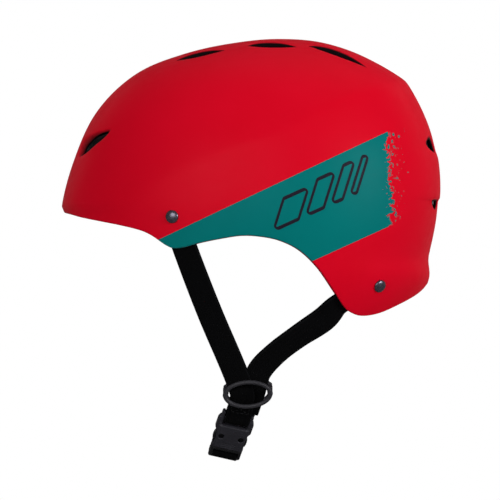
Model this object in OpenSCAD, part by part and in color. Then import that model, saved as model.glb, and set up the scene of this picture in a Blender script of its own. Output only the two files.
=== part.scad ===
// Multi-sport hard-shell helmet with a foam liner, comfort pads and a riveted strap harness.
// +Z is up as worn, -Y is the front and +X is the wearer's left.
// The origin lies on the mid-plane, level with the front rim and half way along the shell.

/* [Shell] */
// Length of the shell over its outer face
shell_length = 283; // [270:1:296]
// Width of the shell over its outer face
shell_width = 216; // [206:1:226]
// Height of the crown above the origin
crown_height = 132; // [126:1:138]
// Wall of the moulded shell
shell_wall = 2.6; // [2:0.1:3.2]

/* [Liner] */
// Thickness of the foam liner at the crown
liner_crown = 25; // [20:1:28]
// Thickness of the foam liner at its lower edge
liner_edge = 19; // [15:1:22]
// Gap between the shell and the liner
liner_gap = 0.9; // [0.8:0.1:1.4]

/* [Pads] */
// Thickness of a comfort pad
pad_thickness = 6; // [4:0.5:8]
// Diameter of a hook-and-loop patch
patch_d = 22; // [16:1:26]
// Thickness of a hook-and-loop patch
patch_t = 1; // [0.8:0.1:1.4]

/* [Rivets] */
// Diameter of a rivet's domed head
rivet_head_d = 9.8; // [8:0.2:11]
// Height of a rivet's domed head
rivet_head_h = 2.4; // [1.8:0.1:3]
// Diameter of a rivet's shank
rivet_shank_d = 4; // [3:0.1:5]
// Diameter of the washer behind the webbing
washer_d = 11; // [9:0.5:13]

/* [Webbing] */
// Width of the webbing
web_width = 18.4; // [16:0.2:20]
// Thickness of the webbing
web_t = 1.6; // [1.2:0.1:1.8]

/* [Strap divider] */
// Length of the oval hoop
divider_length = 37; // [34:0.5:40]
// Height of the oval hoop
divider_height = 23; // [21:0.5:25]
// Thickness of the hoop's moulded section
divider_bar = 3.2; // [2.8:0.1:3.6]

/* [Buckle] */
// Width of the buckle's socket
buckle_width = 24; // [23:0.5:25]
// Thickness of the buckle's socket
buckle_t = 9; // [8.6:0.2:10]
// Wall of the buckle's mouldings
buckle_wall = 1.7; // [1.5:0.1:1.9]

/* [Hidden] */

// The shell is described by rays from a point under the crown: an azimuth from the front (0) over
// the side (90) to the back (180), and a polar angle from the crown (0) downward.
axis_y = 20;
length_k = shell_length / 283;
width_k = shell_width / 216;
height_k = crown_height / 132;

// Radius along the polar angle on the front, side and back centre lines
front_profile = [[0, 132], [15, 133.2], [30, 139.4], [45, 149.4], [60, 155.5], [75, 157.5], [90, 162.2],
    [105, 168], [125, 172]];
side_profile = [[0, 132], [20, 131], [40, 127], [60, 117.5], [75, 111], [90, 108], [105, 107.5],
    [125, 112]];
rear_profile = [[0, 132], [15, 133.6], [30, 134.8], [45, 135], [60, 131.2], [75, 125], [90, 120],
    [105, 118], [113, 121.5], [125, 121.5]];

// The crease between the dome and the side: polar angle and swelling along the azimuth
crease_angle = [[0, 104], [25, 94], [47, 79], [70, 67], [90, 59.5], [110, 51.5], [130, 46.5],
    [155, 44.5], [180, 44]];
crease_swell = [[0, 0], [25, 0.6], [50, 1.8], [90, 2.4], [130, 3.2], [180, 4.2]];
crease_spread = 9;

// The rim's height along the length of the shell
rim_line = [[-145, 2.2], [-141.5, 1.8], [-135.5, 0.4], [-127, -2], [-112, -5.1], [-97, -8.1], [-82, -11.9],
    [-74, -15.5], [-60, -24.5], [-52, -25], [-37, -21], [-22, -18], [-7, -15.8], [7, -16.4],
    [22, -19.5], [37, -27], [51, -40.5], [63, -58], [71, -70], [79, -75], [87, -75.7], [98, -73.3],
    [112, -67], [121.5, -62], [126, -59], [129.5, -56], [133, -52], [136.5, -49.5], [141, -48.5]];

// The liner's lower edge along the azimuth
liner_line = [[0, 14], [25, 13], [50, 12.5], [70, -3], [90, -8], [105, -13], [120, -30], [137, -38],
    [160, -36], [180, -34]];

// The band across the back, raised between two heights
band_top = 45.5;
band_foot = 11.5;
band_rise = 1.5;
// The flared lip under the back
lip_rise = 2.6;
lip_top = -39;
// The front rim, rolled inward below a height
tuck_in = 3;
tuck_top = 3.6;

// How much squarer than an ellipse the plan outline is at the rim; the crown stays round
squareness = 0.18;
// The liner's share of the crease, and the depth at which it begins
liner_crease = 0.7;
liner_depth = shell_wall + liner_gap;
azimuth_step = 6;
shell_rows = 16;
liner_rows = 16;
clearance = 0.3;
rivet_hole = rivet_shank_d + clearance;
bore_depth = 8;

// --- curves ---

// Index of the span of table t that holds x
function span(t, x, i = 0) = i >= len(t) - 2 || x < t[i + 1][0] ? i : span(t, x, i + 1);

// Slope of the curve through table t at its knot i
function slope(t, i) =
    i == 0 ? 0 :
    i == len(t) - 1 ? (t[i][1] - t[i - 1][1]) / (t[i][0] - t[i - 1][0]) :
    (t[i + 1][1] - t[i - 1][1]) / (t[i + 1][0] - t[i - 1][0]);

// Smooth curve through the knots of table t
function curve(t, x) =
    let (
        i = span(t, x),
        h = t[i + 1][0] - t[i][0],
        u = (x - t[i][0]) / h,
        v = u * u,
        w = v * u
    )
    (2 * w - 3 * v + 1) * t[i][1] + (w - 2 * v + u) * h * slope(t, i)
    + (3 * v - 2 * w) * t[i + 1][1] + (w - v) * h * slope(t, i + 1);

// Smooth step from 0 below the edge to 1 above it
function rise(x, edge, soft) = 1 / (1 + exp((edge - x) / soft));

// --- shell surface ---

function folded(azimuth) = abs(((azimuth + 180) % 360 + 360) % 360 - 180);

// Length of a ray; the liner leaves out the shell's band, lip and rolled rim, and has a softer crease
function ray(azimuth, polar, liner) =
    let (
        a = folded(azimuth),
        fine = liner ? 0 : 1,
        swell = curve(crease_swell, a) * (liner ? liner_crease : 1),
        end = a <= 90 ? curve(front_profile, polar) : curve(rear_profile, polar),
        side = curve(side_profile, polar),
        square = 2 + squareness * pow(min(1, polar / 75), 2),
        oval = pow(pow(abs(cos(a)) / end, square) + pow(sin(a) / side, square), -1 / square),
        soft = a < 90 ? 4 - 2 * a / 90 : 2 - (a - 90) / 90,
        away = sqrt(pow(polar - curve(crease_angle, a), 2) + soft * soft) - soft,
        creased = oval + swell * exp(-away / crease_spread),
        z = creased * cos(polar),
        band = exp(-pow((180 - a) / 26, 4)) * (1 - rise(z, band_top, 1.6)) * rise(z, band_foot, 0.6),
        lip = exp(-pow((180 - a) / 40, 2)) * (1 - rise(z, lip_top, 3)),
        tuck = exp(-pow(a / 30, 2)) * (1 - rise(z, tuck_top, 0.9))
    )
    creased + fine * (band_rise * band + lip_rise * lip - tuck_in * tuck);

// Point on the shell, moved inward by depth
function skin(azimuth, polar, depth = 0) =
    let (r = ray(azimuth, polar, depth >= liner_depth) - depth)
    [width_k * r * sin(polar) * sin(azimuth),
        length_k * (axis_y - r * sin(polar) * cos(azimuth)),
        height_k * r * cos(polar)];

// Polar angle at which the skin reaches height z
function polar_at(azimuth, z, depth = 0, low = 40, high = 145, n = 22) =
    let (mid = (low + high) / 2)
    n == 0 ? mid :
    skin(azimuth, mid, depth)[2] > z ? polar_at(azimuth, z, depth, mid, high, n - 1)
        : polar_at(azimuth, z, depth, low, mid, n - 1);

// Polar angle of the shell's rim
function rim_at(azimuth, low = 60, high = 140, n = 20) =
    let (mid = (low + high) / 2, p = skin(azimuth, mid))
    n == 0 ? mid :
    p[2] > height_k * curve(rim_line, p[1] / length_k) ? rim_at(azimuth, mid, high, n - 1)
        : rim_at(azimuth, low, mid, n - 1);

// Outward direction of the skin
function outward(azimuth, polar) =
    let (
        e = 0.5,
        across = skin(azimuth + e, polar) - skin(azimuth - e, polar),
        down = skin(azimuth, polar + e) - skin(azimuth, polar - e),
        n = cross(down, across)
    )
    n / norm(n);

// --- solids ---

// Closed bowl between two depths; the rows run from the crown to edge(azimuth)
module bowl(edges, depths, rows) {
    count = len(edges);
    rings = [for (i = [0 : count - 1]) for (j = [1 : rows])
        let (polar = edges[i] * pow(j / rows, 0.92)) [i * 360 / count, polar, j / rows]];
    outer = [for (r = rings) skin(r[0], r[1], depths[0])];
    inner = [for (r = rings) skin(r[0], r[1], depths[1] + (depths[2] - depths[1]) * r[2])];
    tops = [skin(0, 0, depths[0]), skin(0, 0, depths[1])];
    n = count * rows;
    function at(i, j) = (i % count) * rows + j;
    polyhedron(
        points = concat(outer, inner, tops),
        faces = concat(
            [for (i = [0 : count - 1]) [2 * n, at(i, 0), at(i + 1, 0)]],
            [for (i = [0 : count - 1]) [2 * n + 1, n + at(i + 1, 0), n + at(i, 0)]],
            [for (i = [0 : count - 1]) for (j = [0 : rows - 2]) for (k = [0, 1])
                k == 0 ? [at(i, j), at(i, j + 1), at(i + 1, j)]
                    : [at(i + 1, j), at(i, j + 1), at(i + 1, j + 1)]],
            [for (i = [0 : count - 1]) for (j = [0 : rows - 2]) for (k = [0, 1])
                k == 0 ? [n + at(i, j), n + at(i + 1, j), n + at(i, j + 1)]
                    : [n + at(i + 1, j), n + at(i + 1, j + 1), n + at(i, j + 1)]],
            [for (i = [0 : count - 1]) for (k = [0, 1])
                k == 0 ? [at(i, rows - 1), n + at(i, rows - 1), at(i + 1, rows - 1)]
                    : [at(i + 1, rows - 1), n + at(i, rows - 1), n + at(i + 1, rows - 1)]]
        )
    );
}

// Closed slab between two grids of points of the same size
module slab(top, under) {
    rows = len(top);
    cols = len(top[0]);
    n = rows * cols;
    function at(i, j) = i * cols + j;
    edge = concat(
        [for (j = [0 : cols - 2]) [at(0, j), at(0, j + 1)]],
        [for (i = [0 : rows - 2]) [at(i, cols - 1), at(i + 1, cols - 1)]],
        [for (j = [cols - 1 : -1 : 1]) [at(rows - 1, j), at(rows - 1, j - 1)]],
        [for (i = [rows - 1 : -1 : 1]) [at(i, 0), at(i - 1, 0)]]
    );
    polyhedron(
        points = concat([for (r = top) for (p = r) p], [for (r = under) for (p = r) p]),
        faces = concat(
            [for (i = [0 : rows - 2]) for (j = [0 : cols - 2]) for (k = [0, 1])
                k == 0 ? [at(i, j), at(i, j + 1), at(i + 1, j)]
                    : [at(i + 1, j), at(i, j + 1), at(i + 1, j + 1)]],
            [for (i = [0 : rows - 2]) for (j = [0 : cols - 2]) for (k = [0, 1])
                k == 0 ? [n + at(i, j), n + at(i + 1, j), n + at(i, j + 1)]
                    : [n + at(i + 1, j), n + at(i + 1, j + 1), n + at(i, j + 1)]],
            [for (e = edge) for (k = [0, 1])
                k == 0 ? [e[1], e[0], n + e[0]] : [e[1], n + e[0], n + e[1]]]
        )
    );
}

// Places its children at point p with their +Z along n
module along(p, n) {
    translate(p) rotate([0, acos(n[2]), atan2(n[1], n[0])]) children();
}

// Its children and their mirror image on the wearer's right
module both_sides() {
    children();
    mirror([1, 0, 0]) children();
}

// --- openings ---

// Front vent, as seen from the side
front_vent = [[-128.5, 42.6], [-124.5, 54], [-118.5, 58], [-104, 63.5], [-110, 57], [-117, 52],
    [-121.5, 48]];
// Crown slots, as seen from above: front end, rear end, distance from the mid-plane at each end
crown_slots = [[-52, -21, 31, 36], [0, 33, 34, 37], [46, 84, 33, 41]];
crown_slot_width = 8;
// Rear vents, as seen from behind
upper_rear_vent = [[12, 46], [18, 57], [26, 59], [41, 52.5], [24, 47]];
lower_rear_vent = [[12, 11.5], [38, 12.5], [22, 3]];
// Length of a vent's cut, and the distance from the mid-plane at which the front one begins
vent_reach = 90;
front_vent_from = 18;

module front_vent_tool() {
    translate([front_vent_from, 0, 0]) rotate([90, 0, 90]) linear_extrude(vent_reach) polygon(front_vent);
}

module crown_slot_tool(slot) {
    half = crown_slot_width / 2;
    mid = [(slot[2] + slot[3]) / 2, (slot[0] + slot[1]) / 2];
    translate([0, 0, crown_height / 2]) linear_extrude(vent_reach)
        polygon([[slot[2], slot[0]], mid + [half, 0], [slot[3], slot[1]], mid - [half, 0]]);
}

module rear_vent_tool(outline) {
    translate([0, shell_length / 2 + 20, 0]) rotate([90, 0, 0]) linear_extrude(vent_reach) polygon(outline);
}

module vent_tools() {
    front_vent_tool();
    for (slot = crown_slots) crown_slot_tool(slot);
    rear_vent_tool(upper_rear_vent);
    rear_vent_tool(lower_rear_vent);
}

// --- rivets: azimuth and height of each pair ---
front_rivet = [51.5, -1.5];
rear_rivet = [135.5, -53];

function rivet_point(r) = skin(r[0], polar_at(r[0], r[1]));
function rivet_out(r) = outward(r[0], polar_at(r[0], r[1]));

// Depths from the outer face at a rivet
web_depth = shell_wall + 1.3;
washer_depth = web_depth + web_t + 0.5;
washer_t = 0.8;
flange_depth = washer_depth + washer_t + 0.1;
flange_t = 0.7;
flange_r = rivet_shank_d / 2 + 1.2;
// The head stands this far above the skin, which curves away under it
head_lift = 0.25;
// Half profile of the domed head, as shares of its diameter and height
dome = [[0.5, 0], [0.5, 0.19], [0.43, 0.55], [0.3, 0.86], [0.14, 0.98], [0, 1]];

module rivet(r) {
    head = [for (p = dome) [p[0] * rivet_head_d, head_lift + p[1] * rivet_head_h]];
    color([0.17, 0.17, 0.2]) along(rivet_point(r), rivet_out(r)) rotate_extrude($fn = 40) polygon(concat(
        [[0, -flange_depth - flange_t], [flange_r, -flange_depth - flange_t], [flange_r, -flange_depth],
            [rivet_shank_d / 2, -flange_depth], [rivet_shank_d / 2, head_lift]],
        head));
}

module washer(r) {
    along(rivet_point(r) - washer_depth * rivet_out(r), rivet_out(r)) rotate([180, 0, 0]) difference() {
        cylinder(d = washer_d, h = washer_t, $fn = 40);
        translate([0, 0, -1]) cylinder(d = rivet_hole, h = washer_t + 2, $fn = 40);
    }
}

module rivet_washers() {
    color([0.6, 0.6, 0.62]) both_sides() {
        washer(front_rivet);
        washer(rear_rivet);
    }
}

module rivet_bore(r) {
    along(rivet_point(r) - bore_depth * rivet_out(r), rivet_out(r))
        cylinder(d = rivet_hole, h = bore_depth + 4, $fn = 32);
}

// --- shell and liner ---

module outer_shell() {
    edges = [for (a = [0 : azimuth_step : 359]) rim_at(a)];
    color([0.8, 0.03, 0.14]) difference() {
        bowl(edges, [0, shell_wall, shell_wall], shell_rows);
        both_sides() {
            vent_tools();
            rivet_bore(front_rivet);
            rivet_bore(rear_rivet);
        }
    }
}

module foam_liner() {
    edges = [for (a = [0 : azimuth_step : 359])
        polar_at(a, height_k * curve(liner_line, folded(a)), liner_depth)];
    color([0.12, 0.12, 0.13]) difference() {
        bowl(edges, [liner_depth, liner_depth + liner_crown, liner_depth + liner_edge], liner_rows);
        both_sides() vent_tools();
    }
}

// Depth of the liner's inner face
function liner_inside(azimuth, polar) =
    let (edge = polar_at(azimuth, height_k * curve(liner_line, folded(azimuth)), liner_depth))
    liner_depth + liner_crown + (liner_edge - liner_crown) * min(1, pow(polar / edge, 1.087));

// --- pads ---

patch_gap = 0.8;
pad_gap = patch_gap + patch_t + 0.7;
// How much the top and foot of a wall pad draw in at its ends
pad_taper = 5;
// Half width and half length of the crown pad, and how far under the crown it lies
crown_pad_half = [26, 38];
crown_pad_under = 30;

// Pad on the liner's inner face between two azimuths and two heights
module wall_pad(from, to, low, high, cols = 10, rows = 4) {
    function place(i, j, extra) =
        let (
            a = from + (to - from) * j / cols,
            end = pow(abs(2 * j / cols - 1), 3),
            top = high - pad_taper * end,
            foot = low + pad_taper * end,
            z = top + (foot - top) * i / rows,
            guess = polar_at(a, z, liner_depth + liner_edge + 3, 20, 145),
            depth = liner_inside(a, guess) + extra,
            polar = polar_at(a, z, depth, 20, 145)
        )
        skin(a, polar, depth);
    slab(
        [for (i = [0 : rows]) [for (j = [0 : cols]) place(i, j, pad_gap)]],
        [for (i = [0 : rows]) [for (j = [0 : cols]) place(i, j, pad_gap + pad_thickness)]]
    );
}

module brow_pad() {
    color([0.1, 0.1, 0.11]) wall_pad(-46, 46, 18, 42, 14);
}

module left_side_pad() {
    color([0.1, 0.1, 0.11]) wall_pad(58, 112, 2, 36);
}

module right_side_pad() {
    color([0.1, 0.1, 0.11]) mirror([1, 0, 0]) wall_pad(58, 112, 2, 36);
}

module rear_pad() {
    color([0.1, 0.1, 0.11]) wall_pad(140, 220, -26, 0, 12);
}

// Round-cornered pad under the crown
module crown_pad() {
    rows = 8;
    function place(i, j, extra) =
        let (
            u = 2 * i / rows - 1,
            v = 2 * j / rows - 1,
            x = crown_pad_half[0] * u * sqrt(1 - v * v / 2),
            y = crown_pad_half[1] * v * sqrt(1 - u * u / 2),
            azimuth = atan2(x, -y),
            polar = atan2(norm([x, y]), crown_height - crown_pad_under),
            depth = liner_inside(azimuth, polar) + extra
        )
        skin(azimuth, polar, depth);
    color([0.1, 0.1, 0.11]) slab(
        [for (i = [0 : rows]) [for (j = [0 : rows]) place(i, j, pad_gap)]],
        [for (i = [0 : rows]) [for (j = [0 : rows]) place(i, j, pad_gap + pad_thickness)]]
    );
}

// Mean length of the rays to the patches
patch_ray = 105;
// Patches between the pads and the liner: azimuth and polar angle of each centre
patch_spots = [[-30, 77], [30, 77], [-84, 82], [84, 82], [160, 97], [200, 97], [0, 13], [180, 13]];

module patch(spot) {
    steps = 16;
    turn = patch_d / 2 / patch_ray * 180 / PI;
    function place(k, r, extra) =
        let (
            polar = spot[1] + r * turn * cos(360 * k / steps),
            azimuth = spot[0] + r * turn * sin(360 * k / steps) / sin(max(12, spot[1]))
        )
        skin(azimuth, polar, liner_inside(azimuth, polar) + extra);
    n = steps + 1;
    polyhedron(
        points = [for (extra = [patch_gap, patch_gap + patch_t]) for (k = [0 : steps])
            k == 0 ? place(0, 0, extra) : place(k, 1, extra)],
        faces = concat(
            [for (k = [1 : steps]) [0, k % steps + 1, k]],
            [for (k = [1 : steps]) [n, n + k, n + k % steps + 1]],
            [for (k = [1 : steps]) for (h = [0, 1])
                h == 0 ? [k, k % steps + 1, n + k] : [k % steps + 1, n + k % steps + 1, n + k]]
        )
    );
}

module pad_fasteners() {
    color([0.2, 0.2, 0.2]) for (spot = patch_spots) patch(spot);
}

// --- webbing ---

// Smooth curve through four points, from b to c
function blend4(a, b, c, d, u) =
    let (v = u * u)
    (2 * b + (c - a) * u + (2 * a - 5 * b + 4 * c - d) * v + (3 * b - a - 3 * c + d) * v * u) / 2;

// A route is a list of [point, facing]; each span is cut into a few steps
function along_route(route, k, steps = 3) = [for (i = [0 : len(route) - 2]) for (s = [0 : steps - 1])
    let (before = route[max(0, i - 1)], after = route[min(len(route) - 1, i + 2)])
    blend4(before[k], route[i][k], route[i + 1][k], after[k], s / steps)];

function unit(v) = v / norm(v);

module web(route) {
    last = len(route) - 1;
    spots = concat(along_route(route, 0), [route[last][0]]);
    faces_out = concat(along_route(route, 1), [route[last][1]]);
    n = len(spots);
    function ring(i) =
        let (
            t = unit(spots[min(n - 1, i + 1)] - spots[max(0, i - 1)]),
            b = unit(cross(faces_out[i], t)) * web_width / 2,
            f = unit(cross(t, b)) * web_t / 2
        )
        [spots[i] + b + f, spots[i] - b + f, spots[i] - b - f, spots[i] + b - f];
    color([0.05, 0.05, 0.055]) polyhedron(
        points = [for (i = [0 : n - 1]) each ring(i)],
        faces = concat(
            [[0, 1, 2], [0, 2, 3]],
            [for (i = [0 : n - 2]) for (j = [0 : 3]) for (h = [0, 1])
                let (a = 4 * i + j, b = 4 * i + (j + 1) % 4)
                h == 0 ? [a, a + 4, b] : [b, a + 4, b + 4]],
            [[4 * n - 4, 4 * n - 2, 4 * n - 3], [4 * n - 4, 4 * n - 1, 4 * n - 2]]
        )
    );
}

// Where the closed buckle hangs on the wearer's left, and how it leans
buckle_at = [45, -14, -163.5];
buckle_tilt = 15.6;
buckle_lean = 38;
buckle_x = [cos(buckle_lean), 0, -sin(buckle_lean)];
buckle_y = [-sin(buckle_tilt) * sin(buckle_lean), cos(buckle_tilt), -sin(buckle_tilt) * cos(buckle_lean)];
buckle_z = [cos(buckle_tilt) * sin(buckle_lean), sin(buckle_tilt), cos(buckle_tilt) * cos(buckle_lean)];

// Point and facing given in the buckle's own directions: out, across, up
function hung(x, y, z) = buckle_at + x * buckle_x + y * buckle_y + z * buckle_z;
function faced(x, z) = x * buckle_x + z * buckle_z;

module at_buckle() {
    translate(buckle_at) rotate([-buckle_tilt, buckle_lean, 0]) children();
}

// Point and facing on the inside of the shell, for the middle of the webbing
function inside_shell(azimuth, z) =
    let (polar = polar_at(azimuth, z), out = outward(azimuth, polar))
    [skin(azimuth, polar) - (web_depth + web_t / 2) * out, out];

ring_height = 43;
bar_height = 14;
bar_d = 3.2;
bar_turn = bar_d / 2 + web_t / 2 + 0.2;
layer = web_t + 0.2;
// Distance between the middles of the front and rear webs inside the divider
front_layer = web_t + 1.3;
// How far behind the buckle's centre line the rear web ends
rear_web_off = 5.2;

front_web_upper = [
    inside_shell(50, 5),
    inside_shell(front_rivet[0], front_rivet[1]),
    inside_shell(54.3, -26),
    [[82.5, -31, -71], [0.98, -0.1, -0.15]],
    [[75.4, -13.5, -112], [0.95, 0, -0.3]],
    [hung(front_layer, -3.8, ring_height), faced(1, 0.2)],
    [hung(front_layer, -1.5, 33), faced(1, 0)]];
rear_web_upper = [
    inside_shell(137.6, -49.5),
    inside_shell(rear_rivet[0], rear_rivet[1]),
    inside_shell(127.3, -62),
    inside_shell(120, -70),
    [[75.5, 55, -78.2], [0.97, 0.12, -0.22]],
    [[74, 36, -91], [0.88, 0.14, -0.46]],
    [[72.3, 19.5, -103.5], [0.86, 0.1, -0.5]],
    [[70.2, 7, -117], [0.9, 0, -0.44]],
    [hung(0, 5.1, ring_height), faced(1, 0.2)],
    [hung(0, rear_web_off, 33), faced(1, 0)]];

// The front web turns round the socket's bar and is sewn up behind the rear web
slant = 0.7 * bar_turn;
front_web_loop = [
    [hung(layer, 0, 24), faced(1, 0)],
    [hung(bar_turn, 0, bar_height), faced(1, 0)],
    [hung(slant, 0, bar_height - slant), faced(1, -1)],
    [hung(0, 0, bar_height - bar_turn), faced(0, -1)],
    [hung(-slant, 0, bar_height - slant), faced(-1, -1)],
    [hung(-bar_turn, 0, bar_height), faced(-1, 0)],
    [hung(-layer, 0, 24), faced(-1, 0)],
    [hung(-layer, 0, 28), faced(-1, 0)]];

module front_left_web() {
    difference() {
        web(concat(front_web_upper, front_web_loop));
        rivet_bore(front_rivet);
    }
}

module rear_left_web() {
    difference() {
        web(concat(rear_web_upper, [[hung(0, rear_web_off, 22.5), faced(1, 0)]]));
        rivet_bore(rear_rivet);
    }
}

module front_right_web() {
    mirror([1, 0, 0]) difference() {
        web(concat(front_web_upper, [[hung(layer, 0, 16), faced(1, 0)]]));
        rivet_bore(front_rivet);
    }
}

module rear_right_web() {
    mirror([1, 0, 0]) difference() {
        web(concat(rear_web_upper, [[hung(0, 3, 16), faced(1, 0)]]));
        rivet_bore(rear_rivet);
    }
}

function mirrored(spot) = [for (v = spot) [-v[0], v[1], v[2]]];

// The chin web is sewn behind the right webs, crosses under the chin, turns round the clip's bar
// and runs back as the loose tail.
clip_bar = -18;
chin_route = [
    mirrored([hung(-layer, 0, 30), faced(-1, 0)]),
    mirrored([hung(-layer, 0, 18), faced(-1, 0)]),
    mirrored([hung(-layer, 0, 4), faced(-1, 0.05)]),
    mirrored([hung(-1, 0, -9), faced(-1, 0.25)]),
    [[-23, -18.9, -174.9], [0.2, 0.22, 0.97]],
    [[-8, -19.4, -176.1], [0.08, 0.22, 0.97]],
    [[8, -19.8, -176.9], [0, 0.22, 0.97]],
    [[22, -20, -177.5], [-0.05, 0.22, 0.97]],
    [hung(-bar_turn - 0.3, 0, clip_bar - 2), faced(-1, 0.4)],
    [hung(-bar_turn, 0, clip_bar + 0.4), faced(-1, 0.1)],
    [hung(-slant, 0, clip_bar + slant), faced(-1, 1)],
    [hung(0, 0, clip_bar + bar_turn), faced(0, 1)],
    [hung(slant, 0, clip_bar + slant), faced(1, 1)],
    [hung(bar_turn, 0, clip_bar), faced(1, 0)],
    [hung(bar_turn - 0.4, 0, clip_bar - 3), faced(1, -0.8)],
    [[23, -19.9, -180], [0, -0.22, -0.97]],
    [[8, -20.1, -179.5], [0, -0.22, -0.97]],
    [[-8, -20.1, -179.1], [-0.08, -0.22, -0.97]],
    [[-17, -19.7, -178.2], [-0.15, -0.22, -0.97]]];

module chin_web() {
    web(chin_route);
}

// --- strap divider: an oval hoop outside the webs, joined at its ends to a bar behind them ---

divider_at = hung(0, 0.8, ring_height);
divider_lean = 24;
divider_roll = 3.5;
hoop_out = front_layer + web_t / 2 + divider_bar / 2 + 0.9;
back_bar_in = 6;
back_bar_t = 2;
back_bar_h = 6;
divider_end = 4;

module hoop(length, height, bar, steps = 32, sides = 8) {
    points = [for (i = [0 : steps - 1]) for (j = [0 : sides - 1])
        let (
            a = 360 * i / steps,
            b = 360 * j / sides,
            centre = [0, (length - bar) / 2 * cos(a), (height - bar) / 2 * sin(a)],
            out = unit([0, cos(a) / (length - bar), sin(a) / (height - bar)])
        )
        centre + bar / 2 * (out * cos(b) + [sin(b), 0, 0])];
    function at(i, j) = (i % steps) * sides + j % sides;
    polyhedron(
        points = points,
        faces = [for (i = [0 : steps - 1]) for (j = [0 : sides - 1]) for (h = [0, 1])
            h == 0 ? [at(i, j), at(i, j + 1), at(i + 1, j)]
                : [at(i, j + 1), at(i + 1, j + 1), at(i + 1, j)]]
    );
}

module divider() {
    reach = (divider_length - divider_end) / 2;
    back = -back_bar_in - back_bar_t / 2;
    color([0.17, 0.17, 0.19]) translate(divider_at) rotate([divider_roll, divider_lean, 0]) {
        translate([hoop_out, 0, 0]) hoop(divider_length, divider_height, divider_bar);
        translate([back, -reach, -back_bar_h / 2]) cube([back_bar_t, 2 * reach, back_bar_h]);
        for (end = [-1, 1]) translate([back, end * reach, 0]) rotate([0, 90, 0])
            cylinder(d = divider_end, h = hoop_out - back, $fn = 24);
    }
}

// --- buckle ---

socket_top = 8.5;
socket_foot = -12;
post_top = 21;
post_w = 2.3;
throat_w = buckle_width - 2 * (buckle_wall + 0.7);
throat_t = buckle_t - 2 * buckle_wall;
post_t = 5;
// Outline of a shoulder beside a post, in width and height
shoulder = [[9.8, 2.2], [12, 2.2], [13.7, 5], [13.7, 13.5], [12.6, 16], [9.8, 16]];
corner_r = 2;
// Side windows for the buttons, and the round holes in both faces
window_mid = -3.4;
window_h = 11.6;
face_hole_at = [7.6, -1];
face_hole_d = 4.4;

// Block with rounded upright corners, from z0 to z1
module rounded_block(t, w, z0, z1, r) {
    translate([0, 0, z0]) linear_extrude(z1 - z0) hull() for (x = [-1, 1]) for (y = [-1, 1])
        translate([x * (t / 2 - r), y * (w / 2 - r)]) circle(r = r, $fn = 24);
}

module buckle_socket() {
    post_mid = (socket_top + post_top) / 2;
    throat_h = socket_top - socket_foot;
    color([0.16, 0.16, 0.18]) at_buckle() difference() {
        union() {
            rounded_block(buckle_t, buckle_width, socket_foot, socket_top, corner_r);
            for (side = [-1, 1]) translate([0, side * (buckle_width - post_w) / 2, post_mid])
                cube([post_t, post_w, post_top - socket_top + 1], center = true);
            for (side = [0, 1]) mirror([0, side, 0]) rotate([90, 0, 90])
                linear_extrude(post_t, center = true) polygon(shoulder);
            translate([0, 0, bar_height]) rotate([90, 0, 0])
                cylinder(d = bar_d, h = buckle_width - post_w, center = true, $fn = 24);
        }
        translate([0, 0, socket_top - 2 - throat_h / 2]) cube([throat_t, throat_w, throat_h], center = true);
        translate([0, 0, window_mid]) cube([throat_t, buckle_width + 4, window_h], center = true);
        for (side = [-1, 1]) translate([0, side * face_hole_at[0], face_hole_at[1]]) rotate([0, 90, 0])
            cylinder(d = face_hole_d, h = buckle_t + 4, center = true, $fn = 24);
    }
}

clip_top = socket_foot - clearance;
clip_foot = clip_bar - 2.4;
web_slot_h = 7.6;
// Thickness, width and tip of the tongue between the prongs
tongue_t = 3.6;
tongue_w = 4.4;
tongue_tip = 5;

module clip_body() {
    color([0.13, 0.13, 0.15]) at_buckle() {
        difference() {
            rounded_block(buckle_t - 1, buckle_width, clip_foot, clip_top, corner_r);
            translate([0, 0, clip_bar - 0.2])
                cube([buckle_t + 2, web_width + 0.8, web_slot_h], center = true);
        }
        translate([0, 0, clip_bar]) rotate([90, 0, 0])
            cylinder(d = bar_d, h = buckle_width - 2, center = true, $fn = 24);
        translate([-tongue_t / 2, -tongue_w / 2, clip_top - 1])
            cube([tongue_t, tongue_w, tongue_tip - clip_top + 1]);
    }
}

// Prongs: a knuckle inside the throat's mouth, a springy arm and a squeeze button in the side window
prong_t = throat_t - 1;
prong_outline = [[4.9, -11.8], [7.9, -11.8], [8.2, -8.4], [12.4, -7.8], [13, -5], [13, -2], [12.2, 0.6],
    [9.4, 1.6], [7.6, 4.2], [5.8, 3], [5, -2]];

module prong(side) {
    color([0.13, 0.13, 0.15]) at_buckle() scale([1, side, 1]) translate([-prong_t / 2, 0, 0])
        rotate([90, 0, 90]) linear_extrude(prong_t) polygon(prong_outline);
}

// --- keeper for the loose tail ---

keeper_at = [3, -19.95, -178.1];
keeper_turn = [-12.8, -1.2, 0];
keeper_w = 5;
keeper_wall = 1.4;
keeper_opening = [5.8, web_width + 1.2];

module tail_keeper() {
    outer = keeper_opening + 2 * [keeper_wall, keeper_wall];
    color([0.1, 0.1, 0.1]) translate(keeper_at) rotate(keeper_turn) rotate([0, 90, 0]) difference() {
        rounded_block(outer[0], outer[1], -keeper_w / 2, keeper_w / 2, 1.6);
        rounded_block(keeper_opening[0], keeper_opening[1], -keeper_w, keeper_w, 0.6);
    }
}

outer_shell();
foam_liner();
brow_pad();
left_side_pad();
right_side_pad();
rear_pad();
crown_pad();
pad_fasteners();
rivet(front_rivet);  // front_left_rivet
rivet(rear_rivet);  // rear_left_rivet
mirror([1, 0, 0]) rivet(front_rivet);  // front_right_rivet
mirror([1, 0, 0]) rivet(rear_rivet);  // rear_right_rivet
rivet_washers();
front_left_web();
rear_left_web();
front_right_web();
rear_right_web();
divider();  // left_divider
mirror([1, 0, 0]) divider();  // right_divider
buckle_socket();
clip_body();
prong(-1);  // front_prong
prong(1);  // rear_prong
chin_web();
tail_keeper();
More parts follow.
